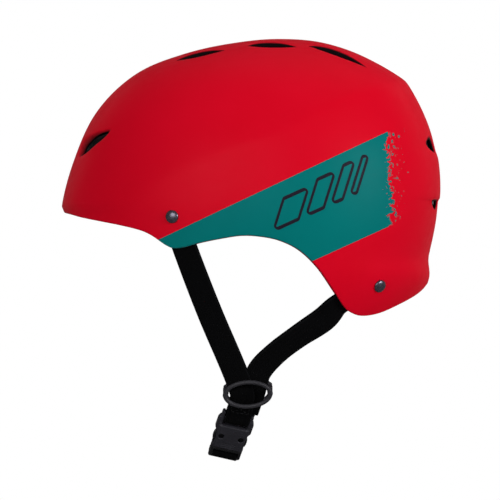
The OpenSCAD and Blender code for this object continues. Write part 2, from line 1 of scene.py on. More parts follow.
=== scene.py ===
"""Multi-sport helmet: the visual model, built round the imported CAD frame."""
import itertools
import math

import bmesh
import bpy
import numpy as np
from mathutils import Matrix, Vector, geometry


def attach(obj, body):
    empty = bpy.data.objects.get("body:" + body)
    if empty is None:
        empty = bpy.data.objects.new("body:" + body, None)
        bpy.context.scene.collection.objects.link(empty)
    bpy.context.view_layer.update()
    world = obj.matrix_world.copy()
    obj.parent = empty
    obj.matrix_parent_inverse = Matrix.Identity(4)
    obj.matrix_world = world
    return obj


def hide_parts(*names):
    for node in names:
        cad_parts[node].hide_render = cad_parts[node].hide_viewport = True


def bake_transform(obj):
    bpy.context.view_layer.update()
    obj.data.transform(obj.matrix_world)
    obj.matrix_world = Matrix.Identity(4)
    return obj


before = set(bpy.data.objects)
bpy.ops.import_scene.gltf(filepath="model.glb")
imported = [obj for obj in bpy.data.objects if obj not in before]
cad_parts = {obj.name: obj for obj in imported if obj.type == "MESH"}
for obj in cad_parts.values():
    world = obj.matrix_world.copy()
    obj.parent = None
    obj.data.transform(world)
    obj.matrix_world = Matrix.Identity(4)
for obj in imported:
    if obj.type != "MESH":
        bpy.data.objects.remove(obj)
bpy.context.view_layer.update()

scene = bpy.context.scene
MM = 0.001
SIDES = (("left", 1), ("right", -1))

# ---------------------------------------------------------------- shell surface
# The same rays as part.scad: azimuth 0 at the front, 90 at the side, 180 at the back, and a polar
# angle from the crown down, both in degrees. Lengths here are millimetres.
AXIS_Y = 20.0
SHELL_WALL = 2.6
LINER_GAP = 0.9
LINER_DEPTH = SHELL_WALL + LINER_GAP
LINER_CROWN = 25.0
LINER_EDGE = 19.0
LINER_CREASE = 0.7
PAD_GAP = 2.5
SQUARENESS = 0.18
# The rear band, the rear lip and the front tuck: height or depth, edges, and how far round they reach
BAND_RISE, BAND_TOP, BAND_FOOT, BAND_REACH = 1.5, 45.5, 11.5, 26
LIP_RISE, LIP_TOP, LIP_REACH = 2.6, -39.0, 40
TUCK_IN, TUCK_TOP, TUCK_REACH = 3.0, 3.6, 30
BAND_TOP_SOFT, BAND_FOOT_SOFT, LIP_SOFT, TUCK_SOFT = 1.6, 0.6, 3, 0.9
CREASE_SPREAD = 9.0

FRONT_PROFILE = [(0, 132), (15, 133.2), (30, 139.4), (45, 149.4), (60, 155.5), (75, 157.5),
                 (90, 162.2), (105, 168), (125, 172)]
SIDE_PROFILE = [(0, 132), (20, 131), (40, 127), (60, 117.5), (75, 111), (90, 108), (105, 107.5),
                (125, 112)]
REAR_PROFILE = [(0, 132), (15, 133.6), (30, 134.8), (45, 135), (60, 131.2), (75, 125), (90, 120),
                (105, 118), (113, 121.5), (125, 121.5)]
CREASE_ANGLE = [(0, 104), (25, 94), (47, 79), (70, 67), (90, 59.5), (110, 51.5), (130, 46.5),
                (155, 44.5), (180, 44)]
CREASE_SWELL = [(0, 0), (25, 0.6), (50, 1.8), (90, 2.4), (130, 3.2), (180, 4.2)]
RIM_LINE = [(-145, 2.2), (-141.5, 1.8), (-135.5, 0.4), (-127, -2), (-112, -5.1), (-97, -8.1),
            (-82, -11.9), (-74, -15.5), (-60, -24.5), (-52, -25), (-37, -21), (-22, -18),
            (-7, -15.8), (7, -16.4), (22, -19.5), (37, -27), (51, -40.5), (63, -58), (71, -70),
            (79, -75), (87, -75.7), (98, -73.3), (112, -67), (121.5, -62), (126, -59),
            (129.5, -56), (133, -52), (136.5, -49.5), (141, -48.5)]
LINER_LINE = [(0, 14), (25, 13), (50, 12.5), (70, -3), (90, -8), (105, -13), (120, -30),
              (137, -38), (160, -36), (180, -34)]


def curve(table, x):
    """Smooth curve through the knots of a table."""
    knots = np.array(table, float)
    xs, ys = knots[:, 0], knots[:, 1]
    slopes = np.zeros(len(xs))
    slopes[1:-1] = (ys[2:] - ys[:-2]) / (xs[2:] - xs[:-2])
    slopes[-1] = (ys[-1] - ys[-2]) / (xs[-1] - xs[-2])
    x = np.asarray(x, float)
    i = np.clip(np.searchsorted(xs, x, side="right") - 1, 0, len(xs) - 2)
    h = xs[i + 1] - xs[i]
    u = (x - xs[i]) / h
    v, w = u ** 2, u ** 3
    return ((2 * w - 3 * v + 1) * ys[i] + (w - 2 * v + u) * h * slopes[i]
            + (3 * v - 2 * w) * ys[i + 1] + (w - v) * h * slopes[i + 1])


def rise(x, edge, soft):
    """Goes from 0 to 1 past an edge, over a distance of about four times soft."""
    return 1 / (1 + np.exp(np.clip((edge - x) / soft, -60, 60)))


def ray(azimuth, polar, liner=False):
    """Length of a ray to the shell's outer face, or to the same face without the shell's details."""
    a = np.abs((np.asarray(azimuth, float) + 180) % 360 - 180)
    polar = np.asarray(polar, float)
    end = np.where(a <= 90, curve(FRONT_PROFILE, polar), curve(REAR_PROFILE, polar))
    side = curve(SIDE_PROFILE, polar)
    square = 2 + SQUARENESS * np.minimum(1, polar / 75) ** 2
    cos_a, sin_a = np.abs(np.cos(np.radians(a))), np.sin(np.radians(a))
    oval = ((cos_a / end) ** square + (np.abs(sin_a) / side) ** square) ** (-1 / square)
    soft = np.where(a < 90, 4 - 2 * a / 90, 2 - (a - 90) / 90)
    away = np.sqrt((polar - curve(CREASE_ANGLE, a)) ** 2 + soft ** 2) - soft
    swell = curve(CREASE_SWELL, a) * (LINER_CREASE if liner else 1)
    creased = oval + swell * np.exp(-away / CREASE_SPREAD)
    if liner:
        return creased
    z = creased * np.cos(np.radians(polar))
    band = (np.exp(-((180 - a) / BAND_REACH) ** 4) * (1 - rise(z, BAND_TOP, BAND_TOP_SOFT))
            * rise(z, BAND_FOOT, BAND_FOOT_SOFT))
    lip = np.exp(-((180 - a) / LIP_REACH) ** 2) * (1 - rise(z, LIP_TOP, LIP_SOFT))
    tuck = np.exp(-(a / TUCK_REACH) ** 2) * (1 - rise(z, TUCK_TOP, TUCK_SOFT))
    return creased + BAND_RISE * band + LIP_RISE * lip - TUCK_IN * tuck


def skin(azimuth, polar, depth=0.0, liner=False):
    """Points at a depth under the shell's outer face, as an array of shape (n, 3)."""
    azimuth, polar, depth = np.broadcast_arrays(
        np.asarray(azimuth, float), np.asarray(polar, float), np.asarray(depth, float))
    r = ray(azimuth, polar, liner) - depth
    s = np.sin(np.radians(polar))
    return np.stack([r * s * np.sin(np.radians(azimuth)),
                     AXIS_Y - r * s * np.cos(np.radians(azimuth)),
                     r * np.cos(np.radians(polar))], -1)


def unit(v):
    return v / np.linalg.norm(v, axis=-1, keepdims=True)


def outward(azimuth, polar):
    """Outward unit directions of the skin."""
    step = 0.5
    across = skin(azimuth + step, polar) - skin(azimuth - step, polar)
    down = skin(azimuth, polar + step) - skin(azimuth, polar - step)
    return unit(np.cross(down, across))


def bisect(low, high, is_below):
    """Value between low and high at which is_below turns from false to true, for each element."""
    for _ in range(30):
        mid = (low + high) / 2
        below = is_below(mid)
        low, high = np.where(below, low, mid), np.where(below, mid, high)
    return (low + high) / 2


def polar_at(azimuth, z, depth=0.0, liner=False):
    """Polar angle at which the skin comes down to height z."""
    azimuth, z = np.broadcast_arrays(np.asarray(azimuth, float), np.asarray(z, float))
    return bisect(np.full(azimuth.shape, 20.0), np.full(azimuth.shape, 145.0),
                  lambda mid: skin(azimuth, mid, depth, liner)[..., 2] <= z)


def rim_at(azimuth):
    """Polar angle of the shell's rim."""
    azimuth = np.asarray(azimuth, float)

    def below(mid):
        p = skin(azimuth, mid)
        return p[..., 2] <= curve(RIM_LINE, p[..., 1])
    return bisect(np.full(azimuth.shape, 60.0), np.full(azimuth.shape, 140.0), below)


def liner_edge_at(azimuth):
    a = np.abs((np.asarray(azimuth, float) + 180) % 360 - 180)
    return polar_at(azimuth, curve(LINER_LINE, a), LINER_DEPTH, True)


EDGE_STEPS = np.arange(0, 360.5, 2.0)
LINER_EDGE_TABLE = liner_edge_at(EDGE_STEPS)


def liner_inside(azimuth, polar):
    """Depth of the liner's inner face."""
    edge = np.interp(np.asarray(azimuth, float) % 360, EDGE_STEPS, LINER_EDGE_TABLE)
    share = np.minimum(1, (polar / edge) ** 1.087)
    return LINER_DEPTH + LINER_CROWN + (LINER_EDGE - LINER_CROWN) * share


def spot(targets, axes, guess):
    """Azimuth and polar angle of skin points, from two of their coordinates, by Newton's method."""
    targets = np.asarray(targets, float)
    found = np.tile(np.asarray(guess, float), (len(targets), 1))
    step = 0.05
    for _ in range(40):
        here = skin(found[:, 0], found[:, 1])[:, axes]
        da = (skin(found[:, 0] + step, found[:, 1])[:, axes] - here) / step
        dp = (skin(found[:, 0], found[:, 1] + step)[:, axes] - here) / step
        miss = targets - here
        det = da[:, 0] * dp[:, 1] - da[:, 1] * dp[:, 0]
        det = np.where(np.abs(det) < 1e-6, 1e-6, det)
        move = np.stack([(miss[:, 0] * dp[:, 1] - miss[:, 1] * dp[:, 0]) / det,
                         (da[:, 0] * miss[:, 1] - da[:, 1] * miss[:, 0]) / det], -1)
        found += np.clip(move, -6, 6)
    return found


# ---------------------------------------------------------------- mesh helpers

def turn_outward(obj, weld=False):
    """Points every face outward; weld first joins points that lie on each other."""
    bm = bmesh.new()
    bm.from_mesh(obj.data)
    if weld:
        bmesh.ops.remove_doubles(bm, verts=bm.verts, dist=1e-6)
    bmesh.ops.recalc_face_normals(bm, faces=bm.faces)
    bm.to_mesh(obj.data)
    bm.free()
    obj.data.update()


def shade_smooth(mesh):
    mesh.polygons.foreach_set("use_smooth", [True] * len(mesh.polygons))


def new_object(name, verts, faces, weld=False):
    """Smooth mesh object from points in millimetres."""
    mesh = bpy.data.meshes.new(name)
    mesh.from_pydata([tuple(float(c) * MM for c in v) for v in verts], [],
                     [list(map(int, f)) for f in faces])
    mesh.validate()
    mesh.update()
    obj = bpy.data.objects.new(name, mesh)
    scene.collection.objects.link(obj)
    shade_smooth(mesh)
    turn_outward(obj, weld)
    return obj


def ring_quads(count, rows, wrap=False):
    """Quads between closed rows of count points; wrap also joins the last row to the first."""
    return [tuple(row % rows * count + at % count
                  for row, at in ((r, k), (r, k + 1), (r + 1, k + 1), (r + 1, k)))
            for r in range(rows if wrap else rows - 1) for k in range(count)]


def fan(count, first, middle, flip=False):
    """Triangles between a closed row of points and one in the middle."""
    faces = [(first + k, first + (k + 1) % count, middle) for k in range(count)]
    return [face[::-1] for face in faces] if flip else faces


def joined(parts):
    """Several (points, faces) as one."""
    verts, faces = [], []
    for more, sides in parts:
        start = len(verts)
        verts.extend(more)
        faces.extend([start + i for i in face] for face in sides)
    return verts, faces


def give_points(obj, name, values):
    """Stores a number or a vector for each point of a mesh."""
    values = np.asarray(values, np.float32)
    kind, key = ("FLOAT", "value") if values.ndim == 1 else ("FLOAT_VECTOR", "vector")
    made = obj.data.attributes.new(name, kind, "POINT")
    made.data.foreach_set(key, values.ravel())


def apply_modifiers(obj):
    """Replaces the mesh by its evaluated form and drops the modifiers."""
    depsgraph = bpy.context.evaluated_depsgraph_get()
    depsgraph.update()
    done = bpy.data.meshes.new_from_object(obj.evaluated_get(depsgraph))
    obj.modifiers.clear()
    obj.data = done


def finish_piece(obj, body, material, slot, *nodes):
    """Gives a piece its body and material, and hides the CAD nodes that it stands for; the slot is not used.
    """
    obj.data.materials.clear()
    obj.data.materials.append(material)
    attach(obj, body)
    if nodes:
        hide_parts(*nodes)
    return obj


def chaikin(points):
    """Rounds the corners of a closed outline; equal outlines stay equal in number."""
    points = np.asarray(points, float)
    for _ in range(3):
        after = np.roll(points, -1, axis=0)
        points = np.stack([points * 0.75 + after * 0.25, points * 0.25 + after * 0.75], 1).reshape(-1, 2)
    return points


def inside(x, y, outline):
    """Which points lie inside a closed outline."""
    result = np.zeros(np.shape(x), bool)
    for (xi, yi), (xj, yj) in zip(outline, np.roll(outline, 1, axis=0)):
        cuts = (yi > y) != (yj > y)
        result ^= cuts & (x < (xj - xi) * (y - yi) / (yj - yi + 1e-12) + xi)
    return result


def flat(angles):
    """Azimuth and polar angle as a point of the flat chart in which the skin is triangulated."""
    return np.stack([angles[:, 1] * np.sin(np.radians(angles[:, 0])),
                     -angles[:, 1] * np.cos(np.radians(angles[:, 0]))], -1)


def angles_of(points):
    return np.stack([np.degrees(np.arctan2(points[:, 0], -points[:, 1])),
                     np.hypot(points[:, 0], points[:, 1])], -1)


# ---------------------------------------------------------------- vents
# A vent has a bevel outline, where the skin starts to dip, and the opening inside it. Both are lists
# of the same length, in x and y for the crown slots, y and z at the front, and x and z at the rear.

SLOT_LIP, SLOT_POINT, SLOT_STEPS = 0.9, 1.6, 14
# Crown slots, each with a first guess of its azimuth and polar angle
SLOTS = [((-54, -20, 31, 36, 8.5, 6), (40, 25)), ((-1, 34, 33, 38, 8.5, 6.5), (90, 25)),
         ((45, 86, 33, 41.5, 8, 7), (140, 30))]
FRONT_OPENING = [(-128.5, 43), (-125, 53.5), (-119, 58), (-111.5, 61), (-105, 63.2), (-110, 57.5),
                 (-117, 52), (-122, 47)]
FRONT_BEVEL = [(-130.2, 41.5), (-127, 55), (-120.2, 60.6), (-111, 63.6), (-101.5, 65.2), (-109, 56.2),
               (-116.4, 50.8), (-122, 45.4)]
UPPER_OPENING = [(16, 47.5), (18, 55), (25, 58), (38, 53), (26, 48)]
UPPER_BEVEL = [(13.5, 45.8), (15.5, 57.5), (25, 61), (42, 53), (27, 46.2)]
LOWER_OPENING = [(14, 10.2), (25, 10.8), (36, 10.6), (29, 5.2), (21.5, 4.6)]
LOWER_BEVEL = [(11.5, 11.6), (25, 12.2), (39.5, 12), (30, 3.8), (20.5, 3)]


def lens(front, rear, x_front, x_rear, width, bevel):
    """Bevel and opening of a crown slot, pointed at both ends, with its bevel towards the ridge."""
    t = np.linspace(0, 1, SLOT_STEPS)
    swell = np.sin(np.pi * t ** 0.85) ** 0.8
    y = front + (rear - front) * t
    mid = x_front + (x_rear - x_front) * t
    half = width * 0.5

    def outline(outer, inner):
        return np.concatenate([np.stack([mid + swell * outer, y], -1),
                               np.stack([mid - swell * inner, y], -1)[-2:0:-1]])
    dip = outline(half + SLOT_LIP, half + bevel)
    dip[[0, SLOT_STEPS - 1], 1] += (-SLOT_POINT, SLOT_POINT)
    return dip, outline(half, half)


def vent_list():
    """Every vent as bevel and opening in the flat chart, and how soon the painted shade in its dip goes
    black.
    """
    # The last value of each vent sets how fast painted shade darkens its dip; the crown slots darken most.
    vents = [[flat(spot(o, [0, 1], guess)) for o in lens(*shape)] + [3.0] for shape, guess in SLOTS]
    for bevel, opening, axes, guess, painted_shade_gain in ((FRONT_BEVEL, FRONT_OPENING, [1, 2], (20, 65), 1.0),
                                               (UPPER_BEVEL, UPPER_OPENING, [0, 2], (160, 75), 1.4),
                                               (LOWER_BEVEL, LOWER_OPENING, [0, 2], (160, 75), 1.4)):
        vents.append([flat(spot(chaikin(o), axes, guess)) for o in (bevel, opening)] + [painted_shade_gain])
    mirrored = [[np.stack([-o[::-1, 0], o[::-1, 1]], -1) for o in vent[:2]] + vent[2:] for vent in vents]
    return vents + mirrored


VENTS = vent_list()


def between(points, rim, holes):
    """Which points lie inside the rim outline and outside the holes."""
    keep = inside(*points.T, rim)
    for hole in holes:
        keep &= ~inside(*points.T, hole)
    return keep


def grown(outline, scale):
    middle = outline.mean(0)
    return middle + (outline - middle) * scale


def chart_grid(reach, spacing):
    """Points on rings round the crown, about evenly spaced in the flat chart."""
    grid = [np.zeros((1, 2))]
    for ring in range(1, int(reach / spacing) + 1):
        count = max(6, int(2 * math.pi * ring))
        turn = np.radians((np.arange(count) + 0.5 * (ring % 2)) * 360 / count)
        grid.append(ring * spacing * np.stack([np.sin(turn), -np.cos(turn)], -1))
    return np.concatenate(grid)


def clearances(points, anchors):
    """Each point's distance to the nearest anchor, worked out block by block to save memory."""
    near = np.full(len(points), 1e9)
    for start in range(0, len(anchors), 400):
        gaps = points[:, None] - anchors[None, start:start + 400]
        near = np.minimum(near, np.hypot(gaps[..., 0], gaps[..., 1]).min(1))
    return near


def triangulate(rim, holes, extra, spacing):
    """Points and triangles of the flat chart between the rim outline and the holes."""
    outlines = [rim] + holes
    starts = np.cumsum([0] + [len(outline) for outline in outlines])
    edges = [(start + i, start + (i + 1) % len(outline))
             for start, outline in zip(starts.tolist(), outlines) for i in range(len(outline))]
    anchors = np.concatenate(outlines + extra)
    grid = chart_grid(np.hypot(rim[:, 0], rim[:, 1]).max(), spacing)
    grid = grid[between(grid, rim, holes)]
    grid = grid[clearances(grid, anchors) > spacing * 0.55]
    everything = np.concatenate([anchors, grid])
    result = geometry.delaunay_2d_cdt([Vector(p) for p in everything.tolist()], edges, [], 0, 1e-5)
    out = np.array([tuple(v) for v in result[0]])
    faces = np.array(result[2])
    sources = {old: new for new, olds in enumerate(result[3]) for old in olds}
    loops = [[sources[start + i] for i in range(len(outline))] for start, outline in zip(starts, outlines)]
    return out, faces[between(out[faces].mean(1), rim, holes)], loops


class Builder:
    """Collects points given as chart position and depth, their marks (wear for chipped paint, dark for
    painted shade in the vents), and the faces between them.
    """

    def __init__(self, liner):
        self.chart, self.depth, self.faces, self.liner = [], [], [], liner
        self.wear, self.dark = [], []

    def add(self, chart, depth, wear=0.0, dark=0.0):
        start = len(self.depth)
        self.chart.extend(np.asarray(chart).tolist())
        self.depth.extend(np.broadcast_to(depth, len(chart)).tolist())
        self.wear.extend([wear] * len(chart))
        self.dark.extend([dark] * len(chart))
        return list(range(start, start + len(chart)))

    def bridge(self, one, two):
        for i in range(len(one)):
            j = (i + 1) % len(one)
            self.faces.append((one[i], one[j], two[j], two[i]))

    def points(self):
        angles = angles_of(np.array(self.chart))
        return skin(angles[:, 0], angles[:, 1], np.array(self.depth), self.liner)


def pierced_bowl(name, rim, rim_rings, holes, top_depth, under_depth, extra, spacing, liner):
    """Closed bowl whose rim and holes are finished by rings of (chart outline, depth), some with a share of
    painted shade.
    """
    chart, triangles, loops = triangulate(rim, [h[0][0] for h in holes], extra, spacing)
    b = Builder(liner)
    top = b.add(chart, top_depth(angles_of(chart)))
    under = b.add(chart, under_depth(angles_of(chart)))
    b.faces.extend((top[i], top[j], top[k]) for i, j, k in triangles)
    b.faces.extend((under[i], under[k], under[j]) for i, j, k in triangles)
    for loop, rings in zip(loops, [rim_rings] + [h[1:] for h in holes]):
        last = [top[i] for i in loop]
        for outline, depth, *dark in rings:
            now = b.add(outline, depth, 1.0, *dark)
            b.bridge(last, now)
            last = now
        b.bridge(last, [under[i] for i in loop])
    obj = new_object(name, b.points(), b.faces)
    give_points(obj, "wear", b.wear)
    # dark holds the painted shade of the vents' dips and walls
    give_points(obj, "dark", b.dark)
    return obj


def shifted(azimuth, polar, millimetres):
    """Chart points moved down their meridians by a distance on the skin."""
    per_degree = np.linalg.norm(skin(azimuth, polar + 0.5) - skin(azimuth, polar - 0.5), axis=-1)
    return flat(np.stack([azimuth, polar + millimetres / per_degree], -1))


def rounded_rim(azimuth, polar, top, under, radius_top, radius_under):
    """Rim outline on the top face, and the rings that round the rim off down to the under face."""
    turns = np.linspace(0, math.pi / 2, 7)
    rings = [(shifted(azimuth, polar, radius_top * (math.sin(t) - 1)), top + radius_top * (1 - math.cos(t)))
             for t in turns[1:]]
    rings += [(shifted(azimuth, polar, radius_under * (math.cos(t) - 1)),
               under - radius_under * (1 - math.sin(t))) for t in turns[:-1]]
    return shifted(azimuth, polar, -radius_top), rings


VENT_DIP = [(0.12, 0.05), (0.35, 0.28), (0.65, 0.62), (0.88, 0.86), (1.0, 1.0)]  # share inwards, share down


def vent_rings(bevel, opening, painted_shade_gain):
    """Rings of a shell vent: the dip from the bevel outline to the opening, then the wall, each with its
    share of painted shade.
    """
    gap = np.linalg.norm(bevel - opening, axis=1) * 2.0
    deep = np.clip(gap * 0.42, 0.7, 3.4)
    # The third value of a ring is painted shade: it darkens the dip towards black, and the cut wall is black
    # both as the bare moulded plastic and as painted shade.
    rings = [(bevel, 0.0)]
    for share, fall in VENT_DIP:
        rings.append((bevel + (opening - bevel) * share, deep * fall, share * painted_shade_gain))
    rings.append((opening + (opening.mean(0) - opening) * 0.01, deep + 0.35, 1.3))
    rings.append((opening, np.maximum(SHELL_WALL, deep + 1.0), 1.3))
    return rings


# ---------------------------------------------------------------- shell and liner

def build_shell():
    """Hard shell; extra points follow the crease and the rear band, so that both stay crisp."""
    azimuth = np.arange(0, 360, 1.0)
    rim, rim_rings = rounded_rim(azimuth, rim_at(azimuth), 0.0, SHELL_WALL, 1.25, 1.25)
    lines = []
    for off in (-2.2, -1.1, 0, 1.1, 2.2):
        a = np.arange(-180, 180, 1.0)
        a = a[np.abs(a) > 35]
        lines.append(flat(np.stack([a, curve(CREASE_ANGLE, np.abs(a)) + off], -1)))
    a = np.concatenate([np.arange(145, 180.1, 1.0), np.arange(-180, -144.9, 1.0)])[:-1]
    heights = [BAND_FOOT + off for off in (-1.6, -0.8, 0, 0.8, 1.6)]
    heights += [BAND_TOP + off for off in (-2.5, 0, 2.5)]
    lines += [flat(np.stack([a, polar_at(a, height)], -1)) for height in heights]
    holes = [vent_rings(*vent) for vent in VENTS]
    around = [grown(h[0][0], 1.12) for h in holes]
    lines = [line[between(line, rim * 0.985, around)] for line in lines]
    return pierced_bowl("shell", rim, rim_rings, holes, lambda a: 0.0, lambda a: SHELL_WALL,
                        lines, 1.35, False)


def channel(angles):
    """Depth of the grooves that carry air along the liner's inner face, between the vents."""
    p = skin(angles[:, 0], angles[:, 1], 20.0, True)
    along = np.exp(-((p[:, 1] - 16) / 62) ** 6)
    side = np.exp(-((np.abs(p[:, 0]) - 31) / 6.5) ** 4)
    return 4.0 * along * side * rise(p[:, 2], 55, 4)


def build_liner():
    """Foam liner, open under the shell's vents."""
    azimuth = np.arange(0, 360, 1.5)
    outer = LINER_DEPTH + 0.3
    rim, rings = rounded_rim(azimuth, liner_edge_at(azimuth), outer, LINER_DEPTH + LINER_EDGE, 1.5, 5.0)
    holes = []
    for _, opening, _ in VENTS:
        wide = grown(opening, 1.06)
        thickness = liner_inside(*angles_of(wide).T) - outer
        holes.append([(wide, 0)] + [(opening, outer + thickness * share) for share in (0.04, 0.5, 0.9)])
    return pierced_bowl("liner", rim, rings, holes, lambda a: outer,
                        lambda a: liner_inside(a[:, 0], a[:, 1]) - channel(a), [], 2.2, True)


# ---------------------------------------------------------------- materials

def srgb(r, g, b):
    """Linear colour from 0 to 255 display values."""
    def lin(c):
        c /= 255
        return c / 12.92 if c <= 0.04045 else ((c + 0.055) / 1.055) ** 2.4
    return (lin(r), lin(g), lin(b), 1.0)


class Paint:
    """A material under construction. Inputs are given by name, or by number as _0, _1 and so on."""

    def __init__(self, name, **values):
        self.material = bpy.data.materials.new(name)
        self.material.use_nodes = True
        self.tree = self.material.node_tree
        self.shader = self.tree.nodes["Principled BSDF"]
        self.set(**values)

    def set(self, **values):
        for key, value in values.items():
            self.feed(self.shader.inputs[key.replace("_", " ")], value)
        return self.material

    def feed(self, socket, value):
        if isinstance(value, bpy.types.NodeSocket):
            self.tree.links.new(value, socket)
        else:
            socket.default_value = value

    def node(self, kind, settings=(), **inputs):
        made = self.tree.nodes.new("ShaderNode" + kind)
        for key, value in dict(settings).items():
            setattr(made, key, value)
        for key, value in inputs.items():
            socket = made.inputs[int(key[1:])] if key[1:].isdigit() else made.inputs[key]
            self.feed(socket, value)
        return made

    def math(self, operation, *values):
        made = self.node("Math", {"operation": operation})
        for socket, value in zip(made.inputs, values):
            self.feed(socket, value)
        return made.outputs[0]

    def mix(self, share, one, two):
        return self.node("Mix", {"data_type": "RGBA"}, _0=share, _6=one, _7=two).outputs[2]

    def ramp(self, value, low, high, to_low=0.0, to_high=1.0):
        return self.node("MapRange", {}, Value=value, _1=low, _2=high, _3=to_low, _4=to_high).outputs[0]

    def place(self, stretch=(1, 1, 1)):
        """The piece's own coordinates in millimetres, stretched."""
        texture = self.node("TexCoord").outputs["Object"]
        scale = tuple(1000.0 * s for s in stretch)
        return self.node("VectorMath", {"operation": "MULTIPLY"}, _0=texture, _1=scale).outputs[0]

    def strip(self, stretch=(1, 1, 1)):
        """Position on a ribbon or pad: across, along and side, in millimetres."""
        texture = self.node("Attribute", {"attribute_name": "strip"}).outputs["Vector"]
        return self.node("VectorMath", {"operation": "MULTIPLY"}, _0=texture, _1=stretch).outputs[0]

    def noise(self, where, size, detail=2.0, rough=0.5):
        return self.node("TexNoise", {}, Vector=where, Scale=1 / size, Detail=detail,
                         Roughness=rough).outputs["Fac"]

    def rough(self, pattern, low, high):
        """Roughness between two values, from a noise."""
        return self.ramp(pattern, 0.3, 0.7, low, high)

    def marked(self, name):
        """A number stored at the mesh's points."""
        return self.node("Attribute", {"attribute_name": name}).outputs["Fac"]

    def bump(self, height, strength, distance, after=None):
        made = self.node("Bump", {}, Height=height, Strength=strength, Distance=distance * MM)
        if after is not None:
            self.feed(made.inputs["Normal"], after)
        return made.outputs[0]


# Edges of the teal panel: slope and height of the upper and lower one, and where the rear one tears,
# crumbles and ends in flecks, along y
PANEL_TOP, PANEL_FOOT = (0.472, 13.57), (0.453, -55.5)
TEAR_AT, TEAR_DEPTH = 90.5, 14.0
CRUMBLE, FLECKS = (96.0, 107.0), (103.0, 122.0)


def teal_panel(p, here):
    """1 on the side panels' print and 0 elsewhere."""
    split = p.node("SeparateXYZ", {}, Vector=here).outputs
    y, z = split[1], split[2]
    band = p.math("MULTIPLY", p.math("LESS_THAN", z, p.math("MULTIPLY_ADD", y, *PANEL_TOP)),
                  p.math("GREATER_THAN", z, p.math("MULTIPLY_ADD", y, *PANEL_FOOT)))
    ragged = p.noise(p.place((0.2, 0.5, 1.0)), 2.6, 3.0, 0.6)
    coarse = p.noise(p.place((0.2, 0.3, 1.0)), 9.0, 1.0)
    edge = p.math("MULTIPLY_ADD", p.math("ADD", ragged, coarse), TEAR_DEPTH, TEAR_AT)
    nibbled = p.noise(p.place((0.3, 0.6, 1.3)), 1.5, 3.0, 0.7)
    nibbles = p.math("GREATER_THAN", nibbled, p.ramp(y, *CRUMBLE, 0.8, 0.56))
    whole = p.math("MULTIPLY", p.math("LESS_THAN", y, edge), p.math("SUBTRACT", 1.0, nibbles))
    fleck = p.noise(p.place((0.3, 1.0, 0.55)), 2.2, 4.0, 0.7)
    flecks = p.math("MULTIPLY", p.math("GREATER_THAN", fleck, p.ramp(y, *FLECKS, 0.56, 0.72)),
                    p.math("LESS_THAN", y, FLECKS[1] - 1))
    panel = p.math("MULTIPLY", band, p.math("MAXIMUM", whole, flecks))
    normal = p.node("TexCoord").outputs["Normal"]
    outside = p.node("VectorMath", {"operation": "DOT_PRODUCT"}, _0=normal, _1=here).outputs["Value"]
    return p.math("MULTIPLY", panel, p.math("GREATER_THAN", outside, 25.0))


def shell_paint():
    """Satin red with a teal panel on each side; rubbed at its edges, with painted shade that deepens to near
    black inside the vents.
    """
    p = Paint("shell_paint", Specular_IOR_Level=0.04)
    here = p.place()
    cloud = p.noise(here, 45.0, 3.0)
    red = p.mix(cloud, srgb(226, 4, 32), srgb(234, 8, 40))
    teal = p.mix(cloud, srgb(0, 118, 118), srgb(2, 128, 126))
    chips = p.ramp(p.math("MULTIPLY", p.marked("wear"), p.noise(here, 3.0, 5.0, 0.7)), 0.52, 0.7)
    colour = p.mix(p.math("MULTIPLY", chips, 0.35), p.mix(teal_panel(p, here), red, teal), srgb(120, 20, 32))
    scuffs = p.ramp(p.noise(p.place((1.0, 0.25, 1.0)), 5.0, 6.0, 0.65), 0.3, 0.75, 0.36, 0.5)
    peel = p.noise(here, 0.9, 2.0)
    scratch = p.noise(p.place((4.0, 0.12, 2.5)), 1.4, 3.0)
    # The dark mark is painted shade: the vents go from red to near black.
    return p.set(Base_Color=p.mix(p.ramp(p.marked("dark"), 0.2, 1.05), colour, srgb(9, 5, 7)),
                 Roughness=p.math("MULTIPLY_ADD", chips, 0.2, scuffs),
                 Normal=p.bump(scratch, 0.05, 0.05, p.bump(peel, 0.09, 0.08)))


def ink():
    """Print of the side emblem."""
    p = Paint("emblem_ink", Specular_IOR_Level=0.1)
    here = p.place()
    return p.set(Base_Color=p.mix(p.noise(here, 6.0, 4.0), srgb(26, 21, 34), srgb(38, 32, 48)),
                 Roughness=p.rough(p.noise(here, 1.5, 4.0), 0.42, 0.6),
                 Normal=p.bump(p.noise(here, 0.8), 0.08, 0.06))


def foam_beads():
    """Black expanded foam: pressed beads with fine creases between them, darkened with painted shade."""
    p = Paint("foam_beads", Specular_IOR_Level=0.1)
    here = p.place()
    wander = p.node("VectorMath", {"operation": "MULTIPLY_ADD"},
                    _0=p.node("TexNoise", {}, Vector=here, Scale=0.5).outputs["Color"],
                    _1=(1.4, 1.4, 1.4), _2=here).outputs[0]
    crease = p.node("TexVoronoi", {"feature": "DISTANCE_TO_EDGE"}, Vector=wander,
                    Scale=1 / 3.4).outputs["Distance"]
    bead = p.node("TexVoronoi", {}, Vector=wander, Scale=1 / 3.4).outputs["Color"]
    share = p.ramp(crease, 0.0, 0.12)
    tone = p.mix(p.node("SeparateColor", {}, Color=bead).outputs[0], srgb(38, 38, 40), srgb(52, 52, 54))
    # The creases are bumped and also darkened with painted shade.
    return p.set(Base_Color=p.mix(share, srgb(18, 18, 19), tone),
                 Roughness=p.rough(p.noise(here, 0.7, 3.0), 0.66, 0.86),
                 Normal=p.bump(share, 0.55, 0.35, p.bump(p.noise(here, 0.5, 3.0), 0.2, 0.12)))


